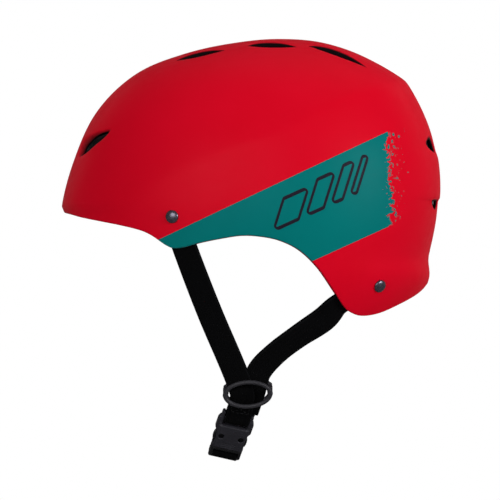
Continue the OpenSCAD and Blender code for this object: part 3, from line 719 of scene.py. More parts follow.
def webbing():
    """Woven strap: ribs along it with slanting picks that turn at each rib, and firmer edges."""
    p = Paint("woven_strap", Specular_IOR_Level=0.03, Sheen_Weight=0.01, Sheen_Roughness=0.5)
    split = p.node("SeparateXYZ", {}, Vector=p.strip()).outputs
    across, along = split[0], split[1]
    zigzag = p.math("PINGPONG", p.math("ADD", across, 40.0), 1.55)
    picks = p.math("SINE", p.math("MULTIPLY", p.math("MULTIPLY_ADD", zigzag, 0.9, along), 5.2))
    ribs = p.math("SINE", p.math("MULTIPLY", across, 2.027))
    height = p.math("MULTIPLY_ADD", p.math("ABSOLUTE", ribs), 0.55, picks)
    fuzz = p.noise(p.strip((1.0, 0.4, 1.0)), 0.5, 4.0, 0.7)
    shade = p.math("MULTIPLY_ADD", fuzz, 0.6, p.ramp(height, -1.0, 1.6, 0.0, 0.5))
    selvedge = p.ramp(p.math("ABSOLUTE", across), 8.0, 9.2)
    weave = p.mix(shade, srgb(1, 1, 2), srgb(13, 13, 14))
    return p.set(Base_Color=p.mix(p.math("MULTIPLY", selvedge, 0.35), weave, srgb(30, 30, 33)),
                 Roughness=p.rough(fuzz, 0.62, 0.85),
                 Normal=p.bump(height, 0.6, 0.14, p.bump(fuzz, 0.3, 0.1)))


def pad_cloth():
    """Brushed knit over foam: small loops in rows, and a soft nap."""
    p = Paint("pad_knit", Specular_IOR_Level=0.2, Sheen_Weight=0.5, Sheen_Roughness=0.6)
    split = p.node("SeparateXYZ", {}, Vector=p.strip()).outputs
    loops = p.math("ABSOLUTE", p.math("SINE", p.math("MULTIPLY", split[0], 2.6)))
    rows = p.math("SINE", p.math("MULTIPLY_ADD", loops, 1.3, p.math("MULTIPLY", split[1], 5.0)))
    nap = p.noise(p.place(), 0.6, 5.0, 0.7)
    patchy = p.noise(p.place(), 14.0, 3.0)
    height = p.math("MULTIPLY_ADD", loops, 0.7, rows)
    shade = p.math("MULTIPLY_ADD", nap, 0.5, p.ramp(height, -1.0, 1.7, 0.0, 0.5))
    colour = p.mix(shade, srgb(24, 24, 27), srgb(64, 64, 69))
    return p.set(Base_Color=p.mix(p.math("MULTIPLY", patchy, 0.3), colour, srgb(46, 46, 51)),
                 Roughness=p.rough(nap, 0.78, 0.95),
                 Normal=p.bump(height, 0.5, 0.14, p.bump(nap, 0.4, 0.15)))


def moulded(name, dark, light, rough_low, rough_high, grain, depth):
    """Moulded plastic or rubber with a fine sparked texture, rubbed lighter on its edges."""
    p = Paint(name, Specular_IOR_Level=0.3)
    here = p.place()
    sparks = p.noise(here, grain, 3.0, 0.6)
    cloud = p.noise(here, 7.0, 3.0)
    edges = p.ramp(p.node("NewGeometry").outputs["Pointiness"], 0.52, 0.6)
    rubbed = p.math("MULTIPLY", edges, p.ramp(p.noise(here, 2.0, 4.0), 0.35, 0.65, 0.15, 0.6))
    colour = p.mix(cloud, dark, light)
    return p.set(Base_Color=p.mix(rubbed, colour, tuple(min(1, 2.4 * c) for c in light[:3]) + (1.0,)),
                 Roughness=p.rough(p.noise(here, 1.6, 5.0), rough_low, rough_high),
                 Normal=p.bump(sparks, depth, 0.06))


def metal(name, dark, light, rough_low, rough_high, stretch):
    """Metal with fine turned scratches and small tarnished spots."""
    p = Paint(name, Metallic=0.9)
    lines = p.noise(p.place(stretch), 0.35, 4.0)
    spots = p.noise(p.place(), 1.8, 4.0)
    return p.set(Base_Color=p.mix(spots, dark, light),
                 Roughness=p.ramp(p.math("ADD", lines, spots), 0.7, 1.3, rough_low, rough_high),
                 Normal=p.bump(lines, 0.12, 0.03))


def fuzzy(name, dark, light):
    """Hook-and-loop tape: a close pile of loops."""
    p = Paint(name, Specular_IOR_Level=0.2, Sheen_Weight=0.4, Sheen_Roughness=0.5)
    here = p.place()
    pile = p.node("TexVoronoi", {}, Vector=here, Scale=1 / 0.55).outputs["Distance"]
    hair = p.noise(here, 0.4, 5.0, 0.7)
    return p.set(Base_Color=p.mix(p.math("MULTIPLY", pile, hair), light, dark),
                 Roughness=p.rough(hair, 0.8, 0.95),
                 Normal=p.bump(pile, 0.7, 0.3, p.bump(hair, 0.5, 0.15)))


def thread():
    """Twisted sewing thread."""
    p = Paint("thread", Specular_IOR_Level=0.12, Sheen_Weight=0.1)
    twist = p.node("TexWave", {"bands_direction": "DIAGONAL"}, Vector=p.place(), Scale=0.9,
                   Distortion=1.0).outputs["Fac"]
    return p.set(Base_Color=p.mix(twist, srgb(6, 6, 8), srgb(24, 24, 27)),
                 Roughness=p.rough(p.noise(p.place(), 0.4, 3.0), 0.5, 0.75),
                 Normal=p.bump(twist, 0.4, 0.08))


SHELL_PAINT = shell_paint()
INK = ink()
FOAM = foam_beads()
WEBBING = webbing()
PAD_CLOTH = pad_cloth()
THREAD = thread()
PATCH = fuzzy("loop_tape", srgb(20, 20, 22), srgb(52, 52, 56))
RIVET = metal("gunmetal", srgb(74, 73, 84), srgb(116, 114, 126), 0.2, 0.36, (1, 1, 5))
WASHER = metal("plated_steel", srgb(150, 150, 155), srgb(190, 190, 196), 0.25, 0.45, (1, 6, 1))
DIVIDER = moulded("divider_plastic", srgb(42, 41, 46), srgb(54, 53, 58), 0.4, 0.58, 0.35, 0.3)
SOCKET = moulded("socket_plastic", srgb(36, 35, 41), srgb(48, 47, 54), 0.42, 0.6, 0.3, 0.35)
# The clip's plastic is darker than the socket's; part of this darkness is painted shade.
CLIP = moulded("clip_plastic", srgb(13, 13, 15), srgb(21, 21, 24), 0.42, 0.6, 0.3, 0.35)
RUBBER = moulded("keeper_rubber", srgb(20, 20, 21), srgb(30, 30, 31), 0.7, 0.85, 0.5, 0.4)

# ---------------------------------------------------------------- shell, liner and emblem

finish_piece(build_shell(), "helmet", SHELL_PAINT, "shell", "outer_shell")
finish_piece(build_liner(), "helmet", FOAM, "foam", "foam_liner")


def rounded_outline(corners, radius):
    """Closed outline with round corners and a fixed number of points."""
    per_side, per_turn = 14, 6
    corners = np.asarray(corners, float)
    points = []
    for before, at, after in zip(np.roll(corners, 1, axis=0), corners, np.roll(corners, -1, axis=0)):
        a, b = unit(before - at), unit(after - at)
        half = math.acos(np.clip(a @ b, -1, 1)) / 2
        back = radius / math.tan(half)
        middle = at + unit(a + b) * radius / math.sin(half)
        start, end = at + a * back - middle, at + b * back - middle
        sweep = math.pi - 2 * half
        for k in range(per_turn + 1):
            u = k / per_turn
            points.append(middle + (math.sin((1 - u) * sweep) * start + math.sin(u * sweep) * end)
                          / math.sin(sweep))
        points.append(None)
    full = []
    for i, point in enumerate(points):
        if point is not None:
            full.append(point)
            continue
        one, two = full[-1], points[(i + 1) % len(points)]
        full.extend(one + (two - one) * k / per_side for k in range(1, per_side))
    return np.array(full)


EMBLEM_CENTRE = np.array([57.0, 18.0])
EMBLEM_TILT, EMBLEM_SLANT = math.radians(24.5), math.tan(math.radians(42))
EMBLEM_LEFT, EMBLEM_GAP, EMBLEM_LINE, EMBLEM_RADIUS = -40.0, 3.5, 2.6, 3.2
EMBLEM_BARS = [(23, -12, 9), (17, -12, 11.5), (12, -12, 13), (8, -12, 13)]  # width, low, high
# Section of a printed line: share of the way from its outer to its inner outline, and depth
EMBLEM_SECTION = [(0, 0.15), (0, -0.06), (0.08, -0.1), (0.92, -0.1), (1, -0.06), (1, 0.15)]


def bar_outline(left, width, low, high, inset):
    """Outline of a slanting bar of the emblem, drawn in by inset, in y and z."""
    low, high, left, right = low + inset, high - inset, left + inset, left + width - inset
    corners = [(x + y * EMBLEM_SLANT, y) for x, y in ((left, low), (right, low), (right, high), (left, high))]
    x, y = rounded_outline(corners, EMBLEM_RADIUS - inset).T
    cos, sin = math.cos(EMBLEM_TILT), math.sin(EMBLEM_TILT)
    return EMBLEM_CENTRE + np.stack([x * cos - y * sin, x * sin + y * cos], -1)


def build_emblem(name, side):
    """Outlined slanting bars, printed on the side: closed bands that stand a tenth of a millimetre proud."""
    parts, left = [], EMBLEM_LEFT
    for width, low, high in EMBLEM_BARS:
        outer, inner = (bar_outline(left, width, low, high, inset) for inset in (0, EMBLEM_LINE))
        rings = [skin(*spot(outer + (inner - outer) * share, [1, 2], (90, 70)).T, depth) * (side, 1, 1)
                 for share, depth in EMBLEM_SECTION]
        parts.append((np.concatenate(rings), ring_quads(len(outer), len(rings), wrap=True)))
        left += width + EMBLEM_GAP
    return finish_piece(new_object(name, *joined(parts)), "helmet", INK, "shell")


for side_name, side in SIDES:
    build_emblem("emblem_" + side_name, side)

# ---------------------------------------------------------------- rivets and washers

CLEARANCE = 0.3
FRONT_RIVET, REAR_RIVET = (51.5, -1.5), (135.5, -53.0)  # azimuth and height
RIVETS = (("front", FRONT_RIVET), ("rear", REAR_RIVET))
RIVET_HEAD_D, RIVET_HEAD_H, RIVET_SHANK_D, WASHER_D = 9.8, 2.4, 4.0, 11.0
WEB_WIDTH, WEB_T = 18.4, 1.6
WEB_DEPTH = SHELL_WALL + 1.3
WASHER_DEPTH = WEB_DEPTH + WEB_T + 0.5
WASHER_T = 0.8
FLANGE_DEPTH = WASHER_DEPTH + WASHER_T + 0.1
FLANGE_T = 0.7
HEAD_LIFT = 0.25


def frame_at(rivet, side):
    """Point on the skin and the three directions of a rivet, its axis last."""
    polar = polar_at(rivet[0], rivet[1])
    point = skin(rivet[0], polar) * (side, 1, 1)
    axis = outward(np.array(rivet[0]), polar) * (side, 1, 1)
    across = unit(np.cross((0, 0, 1), axis))
    return point, across, np.cross(axis, across), axis


def revolved(profile, rivet, side):
    """Points and faces of a profile of (radius, height) turned round a rivet's axis; radius 0 closes it."""
    count = 56
    point, u, v, axis = frame_at(rivet, side)
    verts, rings = [], []
    for radius, height in profile:
        if radius == 0:
            rings.append([len(verts)] * count)
            verts.append(point + height * axis)
            continue
        rings.append(list(range(len(verts), len(verts) + count)))
        for k in range(count):
            a = 2 * math.pi * k / count
            verts.append(point + radius * (math.cos(a) * u + math.sin(a) * v) + height * axis)
    faces = []
    for one, two in zip(rings, rings[1:]):
        for k in range(count):
            j = (k + 1) % count
            faces.append(list(dict.fromkeys((one[k], one[j], two[j], two[k]))))
    return verts, faces


def build_rivet(name, rivet, side):
    """Domed head, shank and clinched end."""
    r, h, shank = RIVET_HEAD_D / 2, RIVET_HEAD_H, RIVET_SHANK_D / 2
    foot = -FLANGE_DEPTH - FLANGE_T
    dome = [(r * math.sin(t), HEAD_LIFT + 0.42 + (h - 0.42) * (1 - (1 - math.cos(t)) ** 0.92))
            for t in np.linspace(math.pi / 2 - 0.02, 0.12, 13)]
    profile = [(0, foot), (shank + 0.9, foot), (shank + 1.15, foot + 0.12), (shank + 1.2, foot + 0.3),
               (shank + 1.2, -FLANGE_DEPTH), (shank, -FLANGE_DEPTH), (shank, HEAD_LIFT),
               (r - 0.18, HEAD_LIFT), (r, HEAD_LIFT + 0.15)] + dome + [(0, HEAD_LIFT + h)]
    obj = new_object(name, *revolved(profile, rivet, side))
    return finish_piece(obj, "helmet", RIVET, "rivet", name)


def build_washers():
    inner, outer, bevel = (RIVET_SHANK_D + CLEARANCE) / 2, WASHER_D / 2, 0.18
    top, foot = -WASHER_DEPTH, -WASHER_DEPTH - WASHER_T
    profile = [(inner, top - bevel), (inner + bevel, top), (outer - bevel, top), (outer, top - bevel),
               (outer, foot + bevel), (outer - bevel, foot), (inner + bevel, foot), (inner, foot + bevel),
               (inner, top - bevel)]
    places = itertools.product((FRONT_RIVET, REAR_RIVET), (1, -1))
    obj = new_object("washers", *joined(revolved(profile, *place) for place in places), weld=True)
    return finish_piece(obj, "helmet", WASHER, "washer", "rivet_washers")


for (side_name, side), (end_name, rivet) in itertools.product(SIDES, RIVETS):
    build_rivet(f"{end_name}_{side_name}_rivet", rivet, side)
build_washers()

# ---------------------------------------------------------------- webbing

BUCKLE_AT = np.array([45.0, -14.0, -163.5])
BAR_HEIGHT, BAR_D, RING_HEIGHT = 14.0, 3.2, 43.0
BAR_TURN = BAR_D / 2 + WEB_T / 2 + 0.2
SLANT = 0.7 * BAR_TURN
LAYER, FRONT_LAYER = WEB_T + 0.2, WEB_T + 1.3
REAR_WEB_OFF = 5.2
CLIP_BAR = -18.0


def turned(x=0.0, y=0.0):
    """Matrix that turns about X first and then about Y, in degrees."""
    cx, sx = math.cos(math.radians(x)), math.sin(math.radians(x))
    cy, sy = math.cos(math.radians(y)), math.sin(math.radians(y))
    about_x = np.array([[1, 0, 0], [0, cx, -sx], [0, sx, cx]])
    about_y = np.array([[cy, 0, sy], [0, 1, 0], [-sy, 0, cy]])
    return about_y @ about_x


BUCKLE_TURN = turned(-15.6, 38)
BX, BY, BZ = BUCKLE_TURN.T


def hung(x, y, z, facing=1, rising=0):
    """Point and facing of a station, in the buckle's directions: out, rearward and up."""
    return BUCKLE_AT + x * BX + y * BY + z * BZ, facing * BX + rising * BZ


def inside_shell(azimuth, z):
    """Station of a web that lies against the shell's inner face."""
    polar = polar_at(azimuth, z)
    out = outward(np.array(float(azimuth)), polar)
    return skin(azimuth, polar) - (WEB_DEPTH + WEB_T / 2) * out, out


def fixed(x, y, z, fx, fy, fz):
    """Station given by its point and its facing."""
    return np.array([x, y, z], float), np.array([fx, fy, fz], float)


# The routes' stations, from the rivets to the buckle, as part.scad has them
FRONT_UPPER = [inside_shell(50, 5), inside_shell(*FRONT_RIVET), inside_shell(54.3, -26),
               fixed(82.5, -31, -71, 0.98, -0.1, -0.15), fixed(75.4, -13.5, -112, 0.95, 0, -0.3),
               hung(FRONT_LAYER, -3.8, RING_HEIGHT, 1, 0.2), hung(FRONT_LAYER, -1.5, 33)]
REAR_UPPER = [inside_shell(137.6, -49.5), inside_shell(*REAR_RIVET), inside_shell(127.3, -62),
              inside_shell(120, -70), fixed(75.5, 55, -78.2, 0.97, 0.12, -0.22),
              fixed(74, 36, -91, 0.88, 0.14, -0.46), fixed(72.3, 19.5, -103.5, 0.86, 0.1, -0.5),
              fixed(70.2, 7, -117, 0.9, 0, -0.44), hung(0, 5.1, RING_HEIGHT, 1, 0.2),
              hung(0, REAR_WEB_OFF, 33)]
FRONT_LOOP = [hung(LAYER, 0, 24), hung(BAR_TURN, 0, BAR_HEIGHT), hung(SLANT, 0, BAR_HEIGHT - SLANT, 1, -1),
              hung(0, 0, BAR_HEIGHT - BAR_TURN, 0, -1), hung(-SLANT, 0, BAR_HEIGHT - SLANT, -1, -1),
              hung(-BAR_TURN, 0, BAR_HEIGHT, -1), hung(-LAYER, 0, 24, -1), hung(-LAYER, 0, 28, -1)]
MIRROR = np.array([-1.0, 1.0, 1.0])


def mirrored(route):
    return [(point * MIRROR, facing * MIRROR) for point, facing in route]


# The chin web comes from the right, turns round the clip's bar, and goes back under itself.
CHIN_ROUTE = mirrored([hung(-LAYER, 0, 30, -1), hung(-LAYER, 0, 18, -1),
                       hung(-LAYER, 0, 4, -1, 0.05), hung(-1, 0, -9, -1, 0.25)])
CHIN_ROUTE += [fixed(-23, -18.9, -174.9, 0.2, 0.22, 0.97), fixed(-8, -19.4, -176.1, 0.08, 0.22, 0.97),
               fixed(8, -19.8, -176.9, 0, 0.22, 0.97), fixed(22, -20, -177.5, -0.05, 0.22, 0.97),
               hung(-BAR_TURN - 0.3, 0, CLIP_BAR - 2, -1, 0.4), hung(-BAR_TURN, 0, CLIP_BAR + 0.4, -1, 0.1),
               hung(-SLANT, 0, CLIP_BAR + SLANT, -1, 1), hung(0, 0, CLIP_BAR + BAR_TURN, 0, 1),
               hung(SLANT, 0, CLIP_BAR + SLANT, 1, 1), hung(BAR_TURN, 0, CLIP_BAR),
               hung(BAR_TURN - 0.4, 0, CLIP_BAR - 3, 1, -0.8),
               fixed(23, -19.9, -180, 0, -0.22, -0.97), fixed(8, -20.1, -179.5, 0, -0.22, -0.97),
               fixed(-8, -20.1, -179.1, -0.08, -0.22, -0.97), fixed(-17, -19.7, -178.2, -0.15, -0.22, -0.97)]
LINK_STEPS = 14
WEB_SPACING, WEB_EDGE = 1.1, 0.6


def smooth_route(route):
    """Points and facings on the smooth curve through a route's stations."""
    values = np.array([np.concatenate(station) for station in route])
    last = len(values) - 1
    out = []
    for i in range(last):
        a, b, c, d = values[max(0, i - 1)], values[i], values[i + 1], values[min(last, i + 2)]
        for k in range(LINK_STEPS):
            u = k / LINK_STEPS
            out.append(0.5 * (2 * b + (c - a) * u + (2 * a - 5 * b + 4 * c - d) * u ** 2
                              + (3 * b - a - 3 * c + d) * u ** 3))
    out.append(values[-1])
    return np.array(out)


def distances(points):
    """How far along a line of points each of them lies."""
    return np.concatenate([[0], np.cumsum(np.linalg.norm(np.diff(points, axis=0), axis=1))])


def read_off(s, far, rows):
    """Rows given at the distances far, read off at the distances s."""
    return np.stack([np.interp(s, far, column) for column in np.transpose(rows)], -1)


class Ribbon:
    """A strap along a route, with its own coordinates: distance along and across."""

    def __init__(self, route):
        raw = smooth_route(route)
        far = distances(raw[:, :3])
        self.length = far[-1]
        self.along = np.linspace(0, self.length, int(self.length / WEB_SPACING) + 1)
        both = read_off(self.along, far, raw)
        self.centre, facing = both[:, :3], both[:, 3:]
        ahead = np.gradient(self.centre, axis=0)
        self.side = unit(np.cross(facing, ahead))
        self.out = unit(np.cross(ahead, self.side))

    def at(self, along, across, lift):
        """Points on or over the strap's outer face; a negative lift is the inner face."""
        centre, side, out = (read_off(along, self.along, part) for part in (self.centre, self.side, self.out))
        return centre + np.asarray(across)[..., None] * side + (np.sign(lift) * WEB_T / 2 + lift) * out

    def mesh(self, name):
        """Strap with round edges; its melted ends are a little thinner."""
        half, thick = WEB_WIDTH / 2, WEB_T / 2
        top = [(a, thick) for a in np.linspace(half - WEB_EDGE, WEB_EDGE - half, 11)]
        turn = np.linspace(math.pi / 2, 1.5 * math.pi, 7)[1:-1]
        left = [(WEB_EDGE - half + WEB_EDGE * math.cos(t), thick * math.sin(t)) for t in turn]
        section = np.array(top + left + [(-a, -b) for a, b in top + left])
        verts, strip = [], []
        for i, s in enumerate(self.along):
            pinch = 1 - 0.28 * math.exp(-min(s, self.length - s) / 0.5)
            for a, b in section:
                verts.append(self.centre[i] + a * self.side[i] + b * pinch * self.out[i])
                strip.append((a, s, b))
        faces = ring_quads(len(section), len(self.along))
        for row, flip in ((0, True), (len(self.along) - 1, False)):
            faces += fan(len(section), row * len(section), len(verts), flip)
            verts.append(self.centre[row])
            strip.append((0, self.along[row], 0))
        obj = new_object(name, verts, faces)
        give_points(obj, "strip", strip)
        return obj


STITCH, STITCH_GAP, THREAD_RADIUS = 2.3, 0.9, 0.3
STITCH_SIDES, STITCH_RINGS = 6, 5
BOX_WIDTH = 13.0
ON_FACE = 1e-6


def stitch(points, outs, far, start):
    """One thread hump on a line of points; both its ends dip into the cloth."""
    verts = []
    for share in np.linspace(0, 1, STITCH_RINGS):
        s = start + STITCH * share
        here, ahead, back = (read_off(s + step, far, points) for step in (0, 0.1, -0.1))
        out = unit(read_off(s, far, outs))
        across = np.cross(out, unit(ahead - back))
        swell = math.sin(math.pi * (0.12 + 0.76 * share))
        middle = here + out * THREAD_RADIUS * (1.3 * swell - 0.95)
        radius = THREAD_RADIUS * (0.55 + 0.45 * swell)
        for a in np.linspace(0, 2 * math.pi, STITCH_SIDES, endpoint=False):
            verts.append(middle + radius * (math.cos(a) * across + math.sin(a) * out))
    caps = [tuple(range(STITCH_SIDES))[::-1], tuple(range(len(verts) - STITCH_SIDES, len(verts)))]
    return verts, ring_quads(STITCH_SIDES, STITCH_RINGS) + caps


def stitch_row(points, outs):
    """Thread humps along a line on a surface, given with its outward directions."""
    far = distances(points)
    starts = np.arange(STITCH_GAP / 2, far[-1] - STITCH, STITCH + STITCH_GAP)
    return joined(stitch(points, outs, far, start) for start in starts)


def sewn(name, body, slot_name, rows):
    """One piece of thread from several rows of (points, outward directions)."""
    obj = new_object(name, *joined(stitch_row(*row) for row in rows))
    return finish_piece(obj, body, THREAD, slot_name)


def box_stitch(ribbon, middle, length):
    """Rows of a sewn box with a cross in it, on the outer face of a ribbon."""
    a, b, w = middle - length / 2, middle + length / 2, BOX_WIDTH / 2
    corners = [(a, -w), (b, -w), (b, w), (a, w), (a, -w), (b, w), (b, -w), (a, w)]
    rows = []
    for (s0, w0), (s1, w1) in zip(corners, corners[1:]):
        share = np.linspace(0, 1, 16)
        along, across = s0 + (s1 - s0) * share, w0 + (w1 - w0) * share
        surface = ribbon.at(along, across, ON_FACE)
        rows.append((surface, unit(ribbon.at(along, across, 1.0) - surface)))
    return rows


def station(ribbon, height):
    """Distance along a ribbon at which it first comes down to a height in the buckle's directions."""
    side = np.where(ribbon.centre[:, 0] < 0, -1.0, 1.0)
    same = np.ones_like(side)
    local = (ribbon.centre * np.stack([side, same, same], -1) - BUCKLE_AT) @ BZ
    return ribbon.along[np.nonzero(local <= height)[0][0]]


def build_web(name, route, body, ends, start, end):
    """A strap along its route, in place of its CAD node; body, ends, start and end are not used."""
    ribbon = Ribbon(route)
    obj = ribbon.mesh(name)
    obj.data.materials.append(WEBBING)
    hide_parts(name)
    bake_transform(obj)
    return ribbon


RIGHT_FRONT_END = [hung(LAYER, 0, 16)]
RIGHT_REAR_END = [hung(0, 3, 16)]
LEFT_REAR_END = [hung(0, REAR_WEB_OFF, 22.5)]
FRONT_BEND = np.array([(84, -45, -20), (76, -15, -108)])
REAR_BEND = np.array([(88, 80, -66), (72.5, 21, -102)])
front_left = build_web("front_left_web", FRONT_UPPER + FRONT_LOOP, "helmet", "harness", *FRONT_BEND)
front_right = build_web("front_right_web", mirrored(FRONT_UPPER + RIGHT_FRONT_END), "helmet", "harness",
                        *FRONT_BEND * MIRROR)
build_web("rear_left_web", REAR_UPPER + LEFT_REAR_END, "helmet", "harness", *REAR_BEND)
build_web("rear_right_web", mirrored(REAR_UPPER + RIGHT_REAR_END), "helmet", "harness", *REAR_BEND * MIRROR)
chin = build_web("chin_web", CHIN_ROUTE, "harness", "clip", (14.2, -21, -180), (27, -21, -178))
sewn("left_stitching", "harness", "webbing", box_stitch(front_left, station(front_left, 27.0), 8.0))
sewn("right_stitching", "harness", "webbing", box_stitch(front_right, station(front_right, 23.5), 10.0)
     + box_stitch(chin, station(chin, 23.5), 10.0))


def sew_tail():
    """Two rows across the hem of the loose tail."""
    rows = []
    hem = np.full(12, chin.length - 5.0)
    upward = unit(chin.at(hem, 0 * hem, 1.0) - chin.at(hem, 0 * hem, ON_FACE))
    for off in (0.0, 1.6):
        rows.append((chin.at(hem + off, np.linspace(-7.5, 7.5, 12), ON_FACE), upward))
    sewn("tail_stitching", "harness", "webbing", rows)


sew_tail()

# ---------------------------------------------------------------- moulded pieces from distance fields
# Each piece is a grid of signed distances in millimetres, and its surface is laid through the zeros.

def smooth_union(a, b, k):
    """a and b together, with a fillet of about k."""
    h = np.clip(0.5 + 0.5 * (b - a) / k, 0, 1)
    return b + (a - b) * h - k * h * (1 - h)


def smooth_cut(a, b, k):
    """a with b taken away, with a softened edge."""
    return -smooth_union(-a, b, k)


def rectangle(u, v, half_u, half_v, radius):
    """Flat rectangle with round corners."""
    du, dv = np.abs(u) - half_u + radius, np.abs(v) - half_v + radius
    return np.hypot(np.maximum(du, 0), np.maximum(dv, 0)) + np.minimum(np.maximum(du, dv), 0) - radius


def block(p, middle, half, radius):
    """Block of half sizes half, with round edges."""
    d = np.abs(p - np.array(middle)) - np.array(half) + radius
    return np.linalg.norm(np.maximum(d, 0), axis=-1) + np.minimum(d.max(-1), 0) - radius


def capped(flat_distance, along, half, edge):
    """A flat shape given thickness, with rounded edges."""
    depth = np.abs(along) - half + edge
    rim = flat_distance + edge
    return np.minimum(np.maximum(rim, depth), 0) + np.hypot(np.maximum(rim, 0), np.maximum(depth, 0)) - edge


def rod(p, middle, axis, radius, half, edge=0.3):
    """Round rod along axis 0, 1 or 2."""
    q = p - np.array(middle)
    along = q[..., axis]
    rest = np.delete(q, axis, axis=-1)
    return capped(np.linalg.norm(rest, axis=-1) - radius, along, half, edge)


def outline_distance(u, v, outline):
    """Signed distance to a closed outline."""
    outline = np.asarray(outline, float)
    best = np.full(u.shape, 1e9)
    for a, b in zip(outline, np.roll(outline, -1, axis=0)):
        e = b - a
        wu, wv = u - a[0], v - a[1]
        t = np.clip((wu * e[0] + wv * e[1]) / (e @ e), 0, 1)
        best = np.minimum(best, np.hypot(wu - t * e[0], wv - t * e[1]))
    return np.where(inside(u, v, outline), -best, best)


CORNERS = list(itertools.product((0, 1), repeat=3))


def surface_cells(field):
    """The grid's cells that the surface passes through, and their numbers in the grid."""
    full = np.zeros(tuple(n - 1 for n in field.shape), int)
    for c in CORNERS:
        full += field[tuple(slice(k, k + n) for k, n in zip(c, full.shape))] < 0
    cells = np.argwhere((full > 0) & (full < 8))
    number = np.full(full.shape, -1)
    number[tuple(cells.T)] = np.arange(len(cells))
    return cells, number


def surface_points(field, cells):
    """One point in each cell: the mean of the places where the surface cuts the cell's edges."""
    total, count = np.zeros((len(cells), 3)), np.zeros(len(cells))
    for a, b in itertools.combinations(np.array(CORNERS), 2):
        if np.abs(a - b).sum() != 1:
            continue
        fa, fb = field[tuple((cells + a).T)], field[tuple((cells + b).T)]
        crossed = (fa < 0) != (fb < 0)
        t = np.where(crossed, fa / np.where(crossed, fa - fb, 1), 0)[:, None]
        total += np.where(crossed[:, None], a + t * (b - a), 0)
        count += crossed
    return cells + total / count[:, None]


def surface_quads(field, number):
    """A quad round each edge of the grid that the surface cuts."""
    quads = []
    here = field < 0
    for axis in range(3):
        changed = here != np.roll(here, -1, axis)
        at = np.argwhere(changed[1:-1, 1:-1, 1:-1]) + 1
        ring = []
        for du, dv in ((-1, -1), (0, -1), (0, 0), (-1, 0)):
            cell = at.copy()
            cell[:, (axis + 1) % 3] += du
            cell[:, (axis + 2) % 3] += dv
            ring.append(number[tuple(cell.T)])
        ring = np.stack(ring, -1)
        out = here[tuple(at.T)]
        ring[~out] = ring[~out][:, ::-1]
        quads.append(ring)
    return np.concatenate(quads)


def laid_surface(distance, low, high, step):
    """Points and quads of the surface where a distance function is zero inside a box."""
    axes = [np.arange(a - 2 * step, b + 2.5 * step, step) for a, b in zip(low, high)]
    field = distance(np.stack(np.meshgrid(*axes, indexing="ij"), -1))
    field[field == 0] = 1e-9
    cells, number = surface_cells(field)
    first = np.array([axis[0] for axis in axes])
    return first + step * surface_points(field, cells), surface_quads(field, number)


def moulding(name, distance, low, high, place, turn, body, material, slot_name, step):
    """Piece laid through a distance field's zeros, relaxed a little, turned and put in its place."""
    points, quads = laid_surface(distance, low, high, step)
    obj = new_object(name, points @ turn.T + place, quads)
    relax = obj.modifiers.new("relax", "SMOOTH")
    relax.factor, relax.iterations = 0.5, 2
    apply_modifiers(obj)
    return finish_piece(obj, body, material, slot_name, name)


DIVIDER_LENGTH, DIVIDER_HEIGHT, DIVIDER_BAR = 37.0, 23.0, 3.2
DIVIDER_TURN = turned(3.5, 24)
HOOP_GAP = 1.15  # between the hoop and the front web; a little more than in the CAD, so that it slides freely
HOOP_OUT = FRONT_LAYER + WEB_T / 2 + DIVIDER_BAR / 2 + HOOP_GAP
BACK_BAR_IN, BACK_BAR_T, BACK_BAR_H = 6.0, 2.0, 6.0
DIVIDER_END = 4.0


def divider_distance(p):
    """An oval hoop outside the webs, joined at its ends to a bar behind them."""
    half_y, half_z = (DIVIDER_LENGTH - DIVIDER_BAR) / 2, (DIVIDER_HEIGHT - DIVIDER_BAR) / 2
    angles = np.linspace(0, 2 * math.pi, 97)[:-1]
    oval = np.stack([half_y * np.cos(angles), half_z * np.sin(angles)], -1)
    shape = np.hypot(outline_distance(p[..., 1], p[..., 2], oval), p[..., 0] - HOOP_OUT) - DIVIDER_BAR / 2
    end_y = (DIVIDER_LENGTH - DIVIDER_END) / 2
    back = block(p, (-BACK_BAR_IN - 0.2, 0, 0), (BACK_BAR_T / 2 - 0.2, end_y, BACK_BAR_H / 2), 0.7)
    middle, reach = (HOOP_OUT - BACK_BAR_IN) / 2, (HOOP_OUT + BACK_BAR_IN) / 2 + 0.6
    for end in (-end_y, end_y):
        post = rod(p, (middle, end, 0), 0, DIVIDER_END / 2, reach, 0.8)
        shape = smooth_union(shape, post, 1.0)
    return smooth_union(shape, back, 0.6)


DIVIDER_AT = hung(0, 0.8, RING_HEIGHT)[0]
for side_name, side in SIDES:
    name = side_name + "_divider"
    moulding(name, divider_distance, (-8, -19, -12.5), (8, 19, 12.5), DIVIDER_AT * (side, 1, 1),
             np.diag([side, 1, 1]) @ DIVIDER_TURN, name, DIVIDER, "divider", 0.38)

BUCKLE_WIDTH, BUCKLE_T, BUCKLE_WALL = 24.0, 9.0, 1.7
SOCKET_TOP, SOCKET_FOOT, POST_TOP, POST_W = 8.5, -12.0, 21.0, 2.3
THROAT_W = BUCKLE_WIDTH - 2 * (BUCKLE_WALL + 0.7)
THROAT_T = BUCKLE_T - 2 * BUCKLE_WALL
SHOULDER = [(9.8, 2.2), (12, 2.2), (13.7, 5), (13.7, 13.5), (12.6, 16), (9.8, 16)]
SHOULDER_T = 5.0
CORNER = 2.2
WINDOW_MID, WINDOW_H = -3.4, 11.6
FACE_HOLE_Y, FACE_HOLE_Z, FACE_HOLE_D = 7.6, -1, 4.4


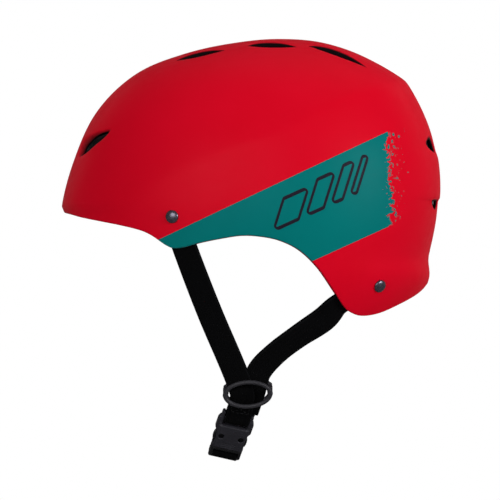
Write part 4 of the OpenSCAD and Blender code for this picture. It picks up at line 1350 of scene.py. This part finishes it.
def socket_distance(p):
    """Upper half of the buckle: a hollow box with side windows, shoulders, posts and the web's bar."""
    x, y, z = p[..., 0], p[..., 1], p[..., 2]
    middle, half = (SOCKET_TOP + SOCKET_FOOT) / 2, (SOCKET_TOP - SOCKET_FOOT) / 2
    thin = np.clip((z - 3) / 5.5, 0, 1) * 0.55
    waist = 0.5 * np.exp(-((z - WINDOW_MID) / 4.5) ** 2)
    box = rectangle(x, y, BUCKLE_T / 2 - thin, BUCKLE_WIDTH / 2 - waist, CORNER)
    shape = capped(box, z - middle, half, 0.8)
    for side in (-1, 1):
        post = block(p, (0, side * (BUCKLE_WIDTH - POST_W) / 2, (SOCKET_TOP + POST_TOP) / 2 - 1),
                     (SHOULDER_T / 2, POST_W / 2, (POST_TOP - SOCKET_TOP) / 2 + 1), 0.9)
        shape = smooth_union(shape, post, 1.6)
    shoulder = capped(outline_distance(np.abs(y), z, SHOULDER), x, SHOULDER_T / 2, 0.7)
    bar = rod(p, (0, 0, BAR_HEIGHT), 1, BAR_D / 2, (BUCKLE_WIDTH - POST_W) / 2)
    shape = smooth_union(smooth_union(shape, shoulder, 0.8), bar, 0.8)
    throat = block(p, (0, 0, SOCKET_TOP - 2 - half), (THROAT_T / 2, THROAT_W / 2, half), 0.5)
    windows = block(p, (0, 0, WINDOW_MID), (THROAT_T / 2, BUCKLE_WIDTH, WINDOW_H / 2), 0.8)
    shape = smooth_cut(smooth_cut(shape, throat, 0.4), windows, 0.5)
    for side in (-1, 1):
        hole = rod(p, (0, side * FACE_HOLE_Y, FACE_HOLE_Z), 0, FACE_HOLE_D / 2, BUCKLE_T)
        shape = smooth_cut(shape, hole, 0.5)
    for line in (-10.2, -8.6, -7.0):
        groove = block(p, (BUCKLE_T / 2, 0, line), (0.35, 5.2, 0.32), 0.3)
        shape = smooth_cut(shape, groove, 0.3)
    return shape


def clip_distance(p):
    """Lower half of the buckle: a grip with the chin web's slot and bar, and a guide tongue."""
    x, y, z = p[..., 0], p[..., 1], p[..., 2]
    top, foot = SOCKET_FOOT - CLEARANCE, CLIP_BAR - 2.4
    middle, half = (top + foot) / 2, (top - foot) / 2
    shape = capped(rectangle(x, y, (BUCKLE_T - 1) / 2, BUCKLE_WIDTH / 2, CORNER), z - middle, half, 0.6)
    for line, side in itertools.product((-15.2, -16.8, -18.4), (-1, 1)):
        groove = block(p, (0, side * BUCKLE_WIDTH / 2, line), (3.2, 0.35, 0.35), 0.3)
        shape = smooth_cut(shape, groove, 0.3)
    slot_shape = block(p, (0, 0, CLIP_BAR - 0.2), (BUCKLE_T, (WEB_WIDTH + 0.8) / 2, 3.8), 0.5)
    shape = smooth_cut(shape, slot_shape, 0.4)
    shape = smooth_union(shape, rod(p, (0, 0, CLIP_BAR), 1, BAR_D / 2, BUCKLE_WIDTH / 2 - 1), 0.6)
    tongue = block(p, (0, 0, (top - 1 + 5) / 2), (1.8, 2.2, (6 - top) / 2), 0.6)
    return smooth_union(shape, tongue, 0.5)


PRONG_T = THROAT_T - 1
PRONG_OUTLINE = [(4.9, -11.8), (7.9, -11.8), (8.2, -8.4), (12.4, -7.8), (13, -5), (13, -2), (12.2, 0.6),
                 (9.4, 1.6), (7.6, 4.2), (5.8, 3), (5, -2)]


def prong_distance(side):
    """One springy prong of the clip, with grooves in its button."""
    def distance(p):
        flat_shape = outline_distance(p[..., 1] * side, p[..., 2], PRONG_OUTLINE)
        shape = capped(flat_shape, p[..., 0], PRONG_T / 2, 0.4)
        for line in (-6.2, -4.2, -2.2, -0.2):
            groove = rod(p, (0, side * 13.1, line), 0, 0.42, 4.0)
            shape = smooth_cut(shape, groove, 0.25)
        return shape
    return distance


KEEPER_AT = np.array([3, -19.95, -178.1])
KEEPER_TURN = turned(-12.8, -1.2) @ turned(0, 90)
KEEPER_W, KEEPER_WALL = 5.0, 1.4
KEEPER_HALF = (2.9, (WEB_WIDTH + 1.2) / 2)  # half of its opening


def keeper_distance(p):
    """Flat rubber loop with two shallow grooves on each face."""
    x, y, z = p[..., 0], p[..., 1], p[..., 2]
    half_x, half_y = (half + KEEPER_WALL for half in KEEPER_HALF)
    outer = capped(rectangle(x, y, half_x, half_y, 1.6), z, KEEPER_W / 2, 0.6)
    shape = smooth_cut(outer, capped(rectangle(x, y, *KEEPER_HALF, 0.6), z, 4, 0.1), 0.3)
    for line, face in itertools.product((-1.1, 1.1), (-1, 1)):
        groove = block(p, (face * half_x, 0, line), (0.25, 9.0, 0.25), 0.2)
        shape = smooth_cut(shape, groove, 0.2)
    return shape


moulding("buckle_socket", socket_distance, (-5, -14, -12.5), (5, 14, 21.5), BUCKLE_AT, BUCKLE_TURN,
         "harness", SOCKET, "buckle", 0.32)
moulding("clip_body", clip_distance, (-4.5, -12.5, -21), (4.5, 12.5, 5.5), BUCKLE_AT, BUCKLE_TURN,
         "clip", CLIP, "clip", 0.32)
moulding("front_prong", prong_distance(-1), (-3, -14, -12.5), (3, -4, 5), BUCKLE_AT, BUCKLE_TURN,
         "front_prong", CLIP, "clip", 0.26)
moulding("rear_prong", prong_distance(1), (-3, 4, -12.5), (3, 14, 5), BUCKLE_AT, BUCKLE_TURN,
         "rear_prong", CLIP, "clip", 0.26)
moulding("tail_keeper", keeper_distance, (-4.6, -11.6, -3), (4.6, 11.6, 3), KEEPER_AT, KEEPER_TURN,
         "keeper", RUBBER, "rubber", 0.3)

# ---------------------------------------------------------------- pads and patches

PAD_CORNER, PAD_CELL = 6.5, 2.6
SEAM_PULL, SEAM_WIDTH = 0.75, 1.6
BINDING_LIFT, BINDING_RADIUS, BINDING_SIDES = 1.35, 1.15, 10
SIM_FRAMES = 20
SIM_REACH = 1.7  # farthest that the simulation may move a point, in millimetres
CLOTH = {"quality": 4, "mass": 0.12, "tension_stiffness": 6, "compression_stiffness": 6,
         "shear_stiffness": 4, "bending_stiffness": 0.3, "vertex_group_mass": "held", "pin_stiffness": 10,
         "use_pressure": True, "uniform_pressure_force": 4}


def wall_place(start, end, low, high, mirror=1):
    """Place of a wall pad's points from u down, v along and a depth past the liner; length and width."""
    span = np.linalg.norm(skin(start, 80, 28, True) - skin(end, 80, 28, True)) * 1.05

    def place(u, v, extra):
        a = start + (end - start) * v
        into = np.clip(1 - (1 - np.abs(2 * v - 1)) * span / 2 / PAD_CORNER, 0, 1)
        draw = 2.5 * np.abs(2 * v - 1) ** 3 + PAD_CORNER * 0.8 * (1 - np.sqrt(1 - into ** 2))
        top, foot = high - draw, low + draw
        z = top + (foot - top) * u
        guess = polar_at(a, z, LINER_DEPTH + LINER_EDGE + 3, True)
        depth = liner_inside(a, guess) + extra
        return skin(a, polar_at(a, z, depth, True), depth, True) * (mirror, 1, 1)
    return place, span, high - low


def crown_place(u, v, extra):
    """The same for the crown pad, which is an oval."""
    s, t = 2 * u - 1, 2 * v - 1
    x, y = 26 * s * np.sqrt(1 - t * t / 2), 38 * t * np.sqrt(1 - s * s / 2)
    azimuth = np.degrees(np.arctan2(x, -y))
    polar = np.degrees(np.arctan2(np.hypot(x, y), 102.0))
    return skin(azimuth, polar, liner_inside(azimuth, polar) + extra, True)


def tube(loop, outs, radius, sides):
    """Closed cord round a loop of points."""
    ahead = unit(np.roll(loop, -1, axis=0) - np.roll(loop, 1, axis=0))
    across = unit(np.cross(ahead, outs))
    turns = [2 * math.pi * k / sides for k in range(sides)]
    verts = [loop[i] + radius * (math.cos(t) * outs[i] + math.sin(t) * across[i])
             for i in range(len(loop)) for t in turns]
    return verts, ring_quads(sides, len(loop), wrap=True)


class Pad:
    """A stuffed pad: its back lies on the patches, its face swells between the seams."""

    def __init__(self, name, place, length, width, seams):
        self.name, self.place, self.seams = name, place, seams
        rows, cols = max(7, int(width / PAD_CELL)), int(length / PAD_CELL)
        u, v = np.meshgrid(np.linspace(0, 1, rows + 1), np.linspace(0, 1, cols + 1), indexing="ij")
        near = np.ones_like(u)
        for axis, line in seams:
            gap = np.abs(v - line) * length if axis else np.abs(u - line) * width
            near *= 1 - SEAM_PULL * np.exp(-(gap / SEAM_WIDTH) ** 2)
        rim = np.minimum(np.minimum(u, 1 - u) * width, np.minimum(v, 1 - v) * length)
        face = PAD_GAP + 1.9 + 2.2 * near * (1 - np.exp(-rim / 2.2))
        back = place(u, v, np.full(u.shape, PAD_GAP + 0.2)).reshape(-1, 3)
        front = place(u, v, face).reshape(-1, 3)
        n = len(back)
        at = np.arange(n).reshape(rows + 1, cols + 1)
        quads = [(at[i, j], at[i, j + 1], at[i + 1, j + 1], at[i + 1, j])
                 for i in range(rows) for j in range(cols)]
        faces = quads + [tuple(n + k for k in q[::-1]) for q in quads]
        edge = [*at[0, :-1], *at[:-1, cols], *at[rows, :0:-1], *at[:0:-1, 0]]
        faces += [(b, a, n + a, n + b) for a, b in zip(edge, edge[1:] + edge[:1])]
        self.obj = new_object(name, np.concatenate([back, front]), faces)
        give_points(self.obj, "strip", [(down * width, along * length, 0)
                                        for down, along in zip(u.ravel(), v.ravel())] * 2)
        held = set(range(n)) | {n + k for k in edge}
        for axis, line in seams:
            held |= {n + k for k in (at[:, round(line * cols)] if axis else at[round(line * rows)])}
        self.held = sorted(int(k) for k in held)
        self.edge_u, self.edge_v = u.ravel()[edge], v.ravel()[edge]
        self.start = self.points()

    def points(self):
        return np.array([vert.co[:] for vert in self.obj.data.vertices])

    def swell(self):
        """Gives the pad its cloth simulation: held by its back, edge and seams, and blown up."""
        self.obj.vertex_groups.new(name="held").add(self.held, 1.0, "REPLACE")
        cloth = self.obj.modifiers.new("cloth", "CLOTH")
        for key, value in CLOTH.items():
            setattr(cloth.settings, key, value)
        cloth.settings.effector_weights.gravity = 0
        cloth.collision_settings.use_collision = False
        cloth.point_cache.frame_start, cloth.point_cache.frame_end = 1, SIM_FRAMES

    def settle(self):
        """Keeps the simulated shape, with each point's travel held to less than SIM_REACH."""
        most = SIM_REACH * MM
        if self.obj.modifiers:
            apply_modifiers(self.obj)
            move = self.points() - self.start
            far = np.linalg.norm(move, axis=1, keepdims=True)
            move *= np.where(far > 1e-9, most * np.tanh(far / most) / np.maximum(far, 1e-9), 0)
            self.obj.data.vertices.foreach_set("co", (self.start + move).astype(np.float32).ravel())
        self.obj.vertex_groups.clear()
        finer = self.obj.modifiers.new("finer", "SUBSURF")
        finer.levels = finer.render_levels = 1
        apply_modifiers(self.obj)
        shade_smooth(self.obj.data)
        finish_piece(self.obj, "helmet", PAD_CLOTH, "pad", self.name)

    def trim(self):
        """The bound edge and the sewn rows."""
        u, v = self.edge_u, self.edge_v
        outs = unit(self.place(u, v, PAD_GAP + 3.0) - self.place(u, v, PAD_GAP))
        ring = self.place(u, v, PAD_GAP + BINDING_LIFT)
        obj = new_object(self.name + "_binding", *tube(ring, outs, BINDING_RADIUS, BINDING_SIDES))
        give_points(obj, "strip", [(k, i * PAD_CELL, 0)
                                   for i in range(len(ring)) for k in range(BINDING_SIDES)])
        finish_piece(obj, "helmet", PAD_CLOTH, "pad")
        rows = []
        steps = np.linspace(0.08, 0.92, 30)
        for axis, line in self.seams:
            a, b = (steps, 0 * steps + line) if axis else (0 * steps + line, steps)
            points = self.place(a, b, PAD_GAP + 2.75)
            rows.append((points, unit(self.place(a, b, PAD_GAP + 4.75) - points)))
        sewn(self.name + "_seams", "helmet", "pad", rows)


# A seam is 0 for a line along the pad or 1 for one across it, and its place from 0 to 1.
PADS = [Pad("brow_pad", *wall_place(-46, 46, 18, 42), [(1, 0.25), (1, 0.5), (1, 0.75)]),
        Pad("left_side_pad", *wall_place(58, 112, 2, 36), [(1, 0.5)]),
        Pad("right_side_pad", *wall_place(58, 112, 2, 36, -1), [(1, 0.5)]),
        Pad("rear_pad", *wall_place(140, 220, -26, 0), [(1, 0.333), (1, 0.667)]),
        Pad("crown_pad", crown_place, 76, 52, [(0, 0.5), (1, 0.5)])]
for pad in PADS:
    pad.swell()
for frame_number in range(1, SIM_FRAMES + 1):
    scene.frame_set(frame_number)
for pad in PADS:
    pad.settle()
    pad.trim()
scene.frame_set(1)

# Azimuth and polar angle of the patches, and their size; PATCH_RAY is about how far they lie from the centre
PATCH_SPOTS = [(-30, 77), (30, 77), (-84, 82), (84, 82), (160, 97), (200, 97), (0, 13), (180, 13)]
PATCH_D, PATCH_T, PATCH_GAP, PATCH_RAY, PATCH_SIDES = 22.0, 1.0, 0.8, 105.0, 40
# Section of a patch: share of the radius, and share of the thickness
PATCH_SECTION = [(0.5, 0), (0.9, 0), (0.985, 0.12), (1.0, 0.3), (1.0, 0.7), (0.985, 0.88), (0.9, 1.0),
                 (0.5, 1.0)]


def patch(azimuth, polar):
    """Points and faces of one round patch on the liner."""
    turn = math.degrees(PATCH_D / 2 / PATCH_RAY)
    around = np.linspace(0, 2 * math.pi, PATCH_SIDES, endpoint=False)

    def ring(share, height):
        p = polar + share * turn * np.cos(around)
        a = azimuth + share * turn * np.sin(around) / math.sin(math.radians(max(12, polar)))
        return skin(a, p, liner_inside(a, p) + PATCH_GAP + PATCH_T * height, True)
    verts = np.concatenate([ring(*row) for row in PATCH_SECTION] + [ring(0, 0)[:1], ring(0, 1)[:1]])
    last = PATCH_SIDES * (len(PATCH_SECTION) - 1)
    faces = ring_quads(PATCH_SIDES, len(PATCH_SECTION))
    faces += fan(PATCH_SIDES, 0, len(verts) - 2, True) + fan(PATCH_SIDES, last, len(verts) - 1)
    return verts, faces


def build_patches():
    """Round pieces of tape between the pads and the liner."""
    obj = new_object("pad_fasteners", *joined(patch(*place) for place in PATCH_SPOTS))
    return finish_piece(obj, "helmet", PATCH, "patch", "pad_fasteners")


build_patches()

# ---------------------------------------------------------------- camera, floor and light

CAMERA_DISTANCE = 9.0
FRAME_WIDTH = 0.375
FRAME_CENTRE_Z = -0.02625
FLOOR_Z = -0.225
STAGE_RADIUS = 3.0
SENSOR = 36.0

camera_data = bpy.data.cameras.new("camera")
camera_data.sensor_width = SENSOR
camera_data.lens = SENSOR * CAMERA_DISTANCE / FRAME_WIDTH
camera_data.clip_end = 60
camera = bpy.data.objects.new("camera", camera_data)
camera.location = (CAMERA_DISTANCE, 0, FRAME_CENTRE_Z)
camera.rotation_euler = (math.radians(90), 0, math.radians(90))
scene.collection.objects.link(camera)
scene.camera = camera


def stage_white():
    """Pale floor and wall, white to the eye and dim to the object; seen from outside it is clear."""
    p = Paint("stage_white", Base_Color=(0.3, 0.3, 0.3, 1), Roughness=0.95, Specular_IOR_Level=0.0)
    glow = p.node("Emission", {}, Color=(1, 1, 1, 1), Strength=1.0)
    seen = p.node("LightPath").outputs["Is Camera Ray"]
    shown = p.node("MixShader", {}, _0=seen, _1=p.shader.outputs[0], _2=glow.outputs[0])
    clear = p.node("BsdfTransparent")
    mixed = p.node("MixShader", {}, _0=p.node("NewGeometry").outputs["Backfacing"],
                   _1=shown.outputs[0], _2=clear.outputs[0])
    p.tree.links.new(mixed.outputs[0], p.tree.nodes["Material Output"].inputs["Surface"])
    return p.material


def build_stage():
    """Round pale floor that curves up into a wall all round."""
    bend, count = 1.2, 72
    profile = [(r, 0.0) for r in (0.4, 0.9, STAGE_RADIUS - bend)]
    profile += [(STAGE_RADIUS - bend + bend * math.sin(t), bend - bend * math.cos(t))
                for t in np.linspace(0.12, math.pi / 2, 14)]
    profile.append((STAGE_RADIUS, 3.4))
    turns = np.linspace(0, 2 * math.pi, count, endpoint=False)
    verts = [(r * math.cos(t), r * math.sin(t), FLOOR_Z + z) for r, z in profile for t in turns]
    faces = [face[::-1] for face in ring_quads(count, len(profile))] + fan(count, 0, len(verts))
    verts.append((0, 0, FLOOR_Z))
    mesh = bpy.data.meshes.new("floor")
    mesh.from_pydata(verts, [], faces)
    shade_smooth(mesh)
    obj = bpy.data.objects.new("floor", mesh)
    obj.data.materials.append(stage_white())
    scene.collection.objects.link(obj)


def area_light(name, place, size, power, gloss=True):
    """Square light that shines at the origin; without gloss it isn't mirrored."""
    data = bpy.data.lights.new(name, "AREA")
    data.shape = "SQUARE"
    data.size = size
    data.energy = power
    obj = bpy.data.objects.new(name, data)
    obj.location = place
    obj.visible_glossy = gloss
    obj.rotation_euler = (-Vector(place)).to_track_quat("-Z", "Y").to_euler()
    scene.collection.objects.link(obj)


build_stage()
area_light("key", (1.65, 2.2, 0.1), 1.5, 96)
area_light("fill", (2.3, -0.8, 0.3), 1.6, 32)
area_light("top", (-0.4, 0.4, 2.4), 1.8, 9, False)
area_light("rear", (-1.6, 1.8, 0.8), 1.5, 14, False)
area_light("far", (-1.9, -1.5, 0.9), 1.5, 10, False)
world = bpy.data.worlds.new("world")
world.use_nodes = True
world.node_tree.nodes["Background"].inputs["Color"].default_value = (1, 1, 1, 1)
world.node_tree.nodes["Background"].inputs["Strength"].default_value = 0.3
scene.world = world
scene.view_settings.view_transform = "Standard"
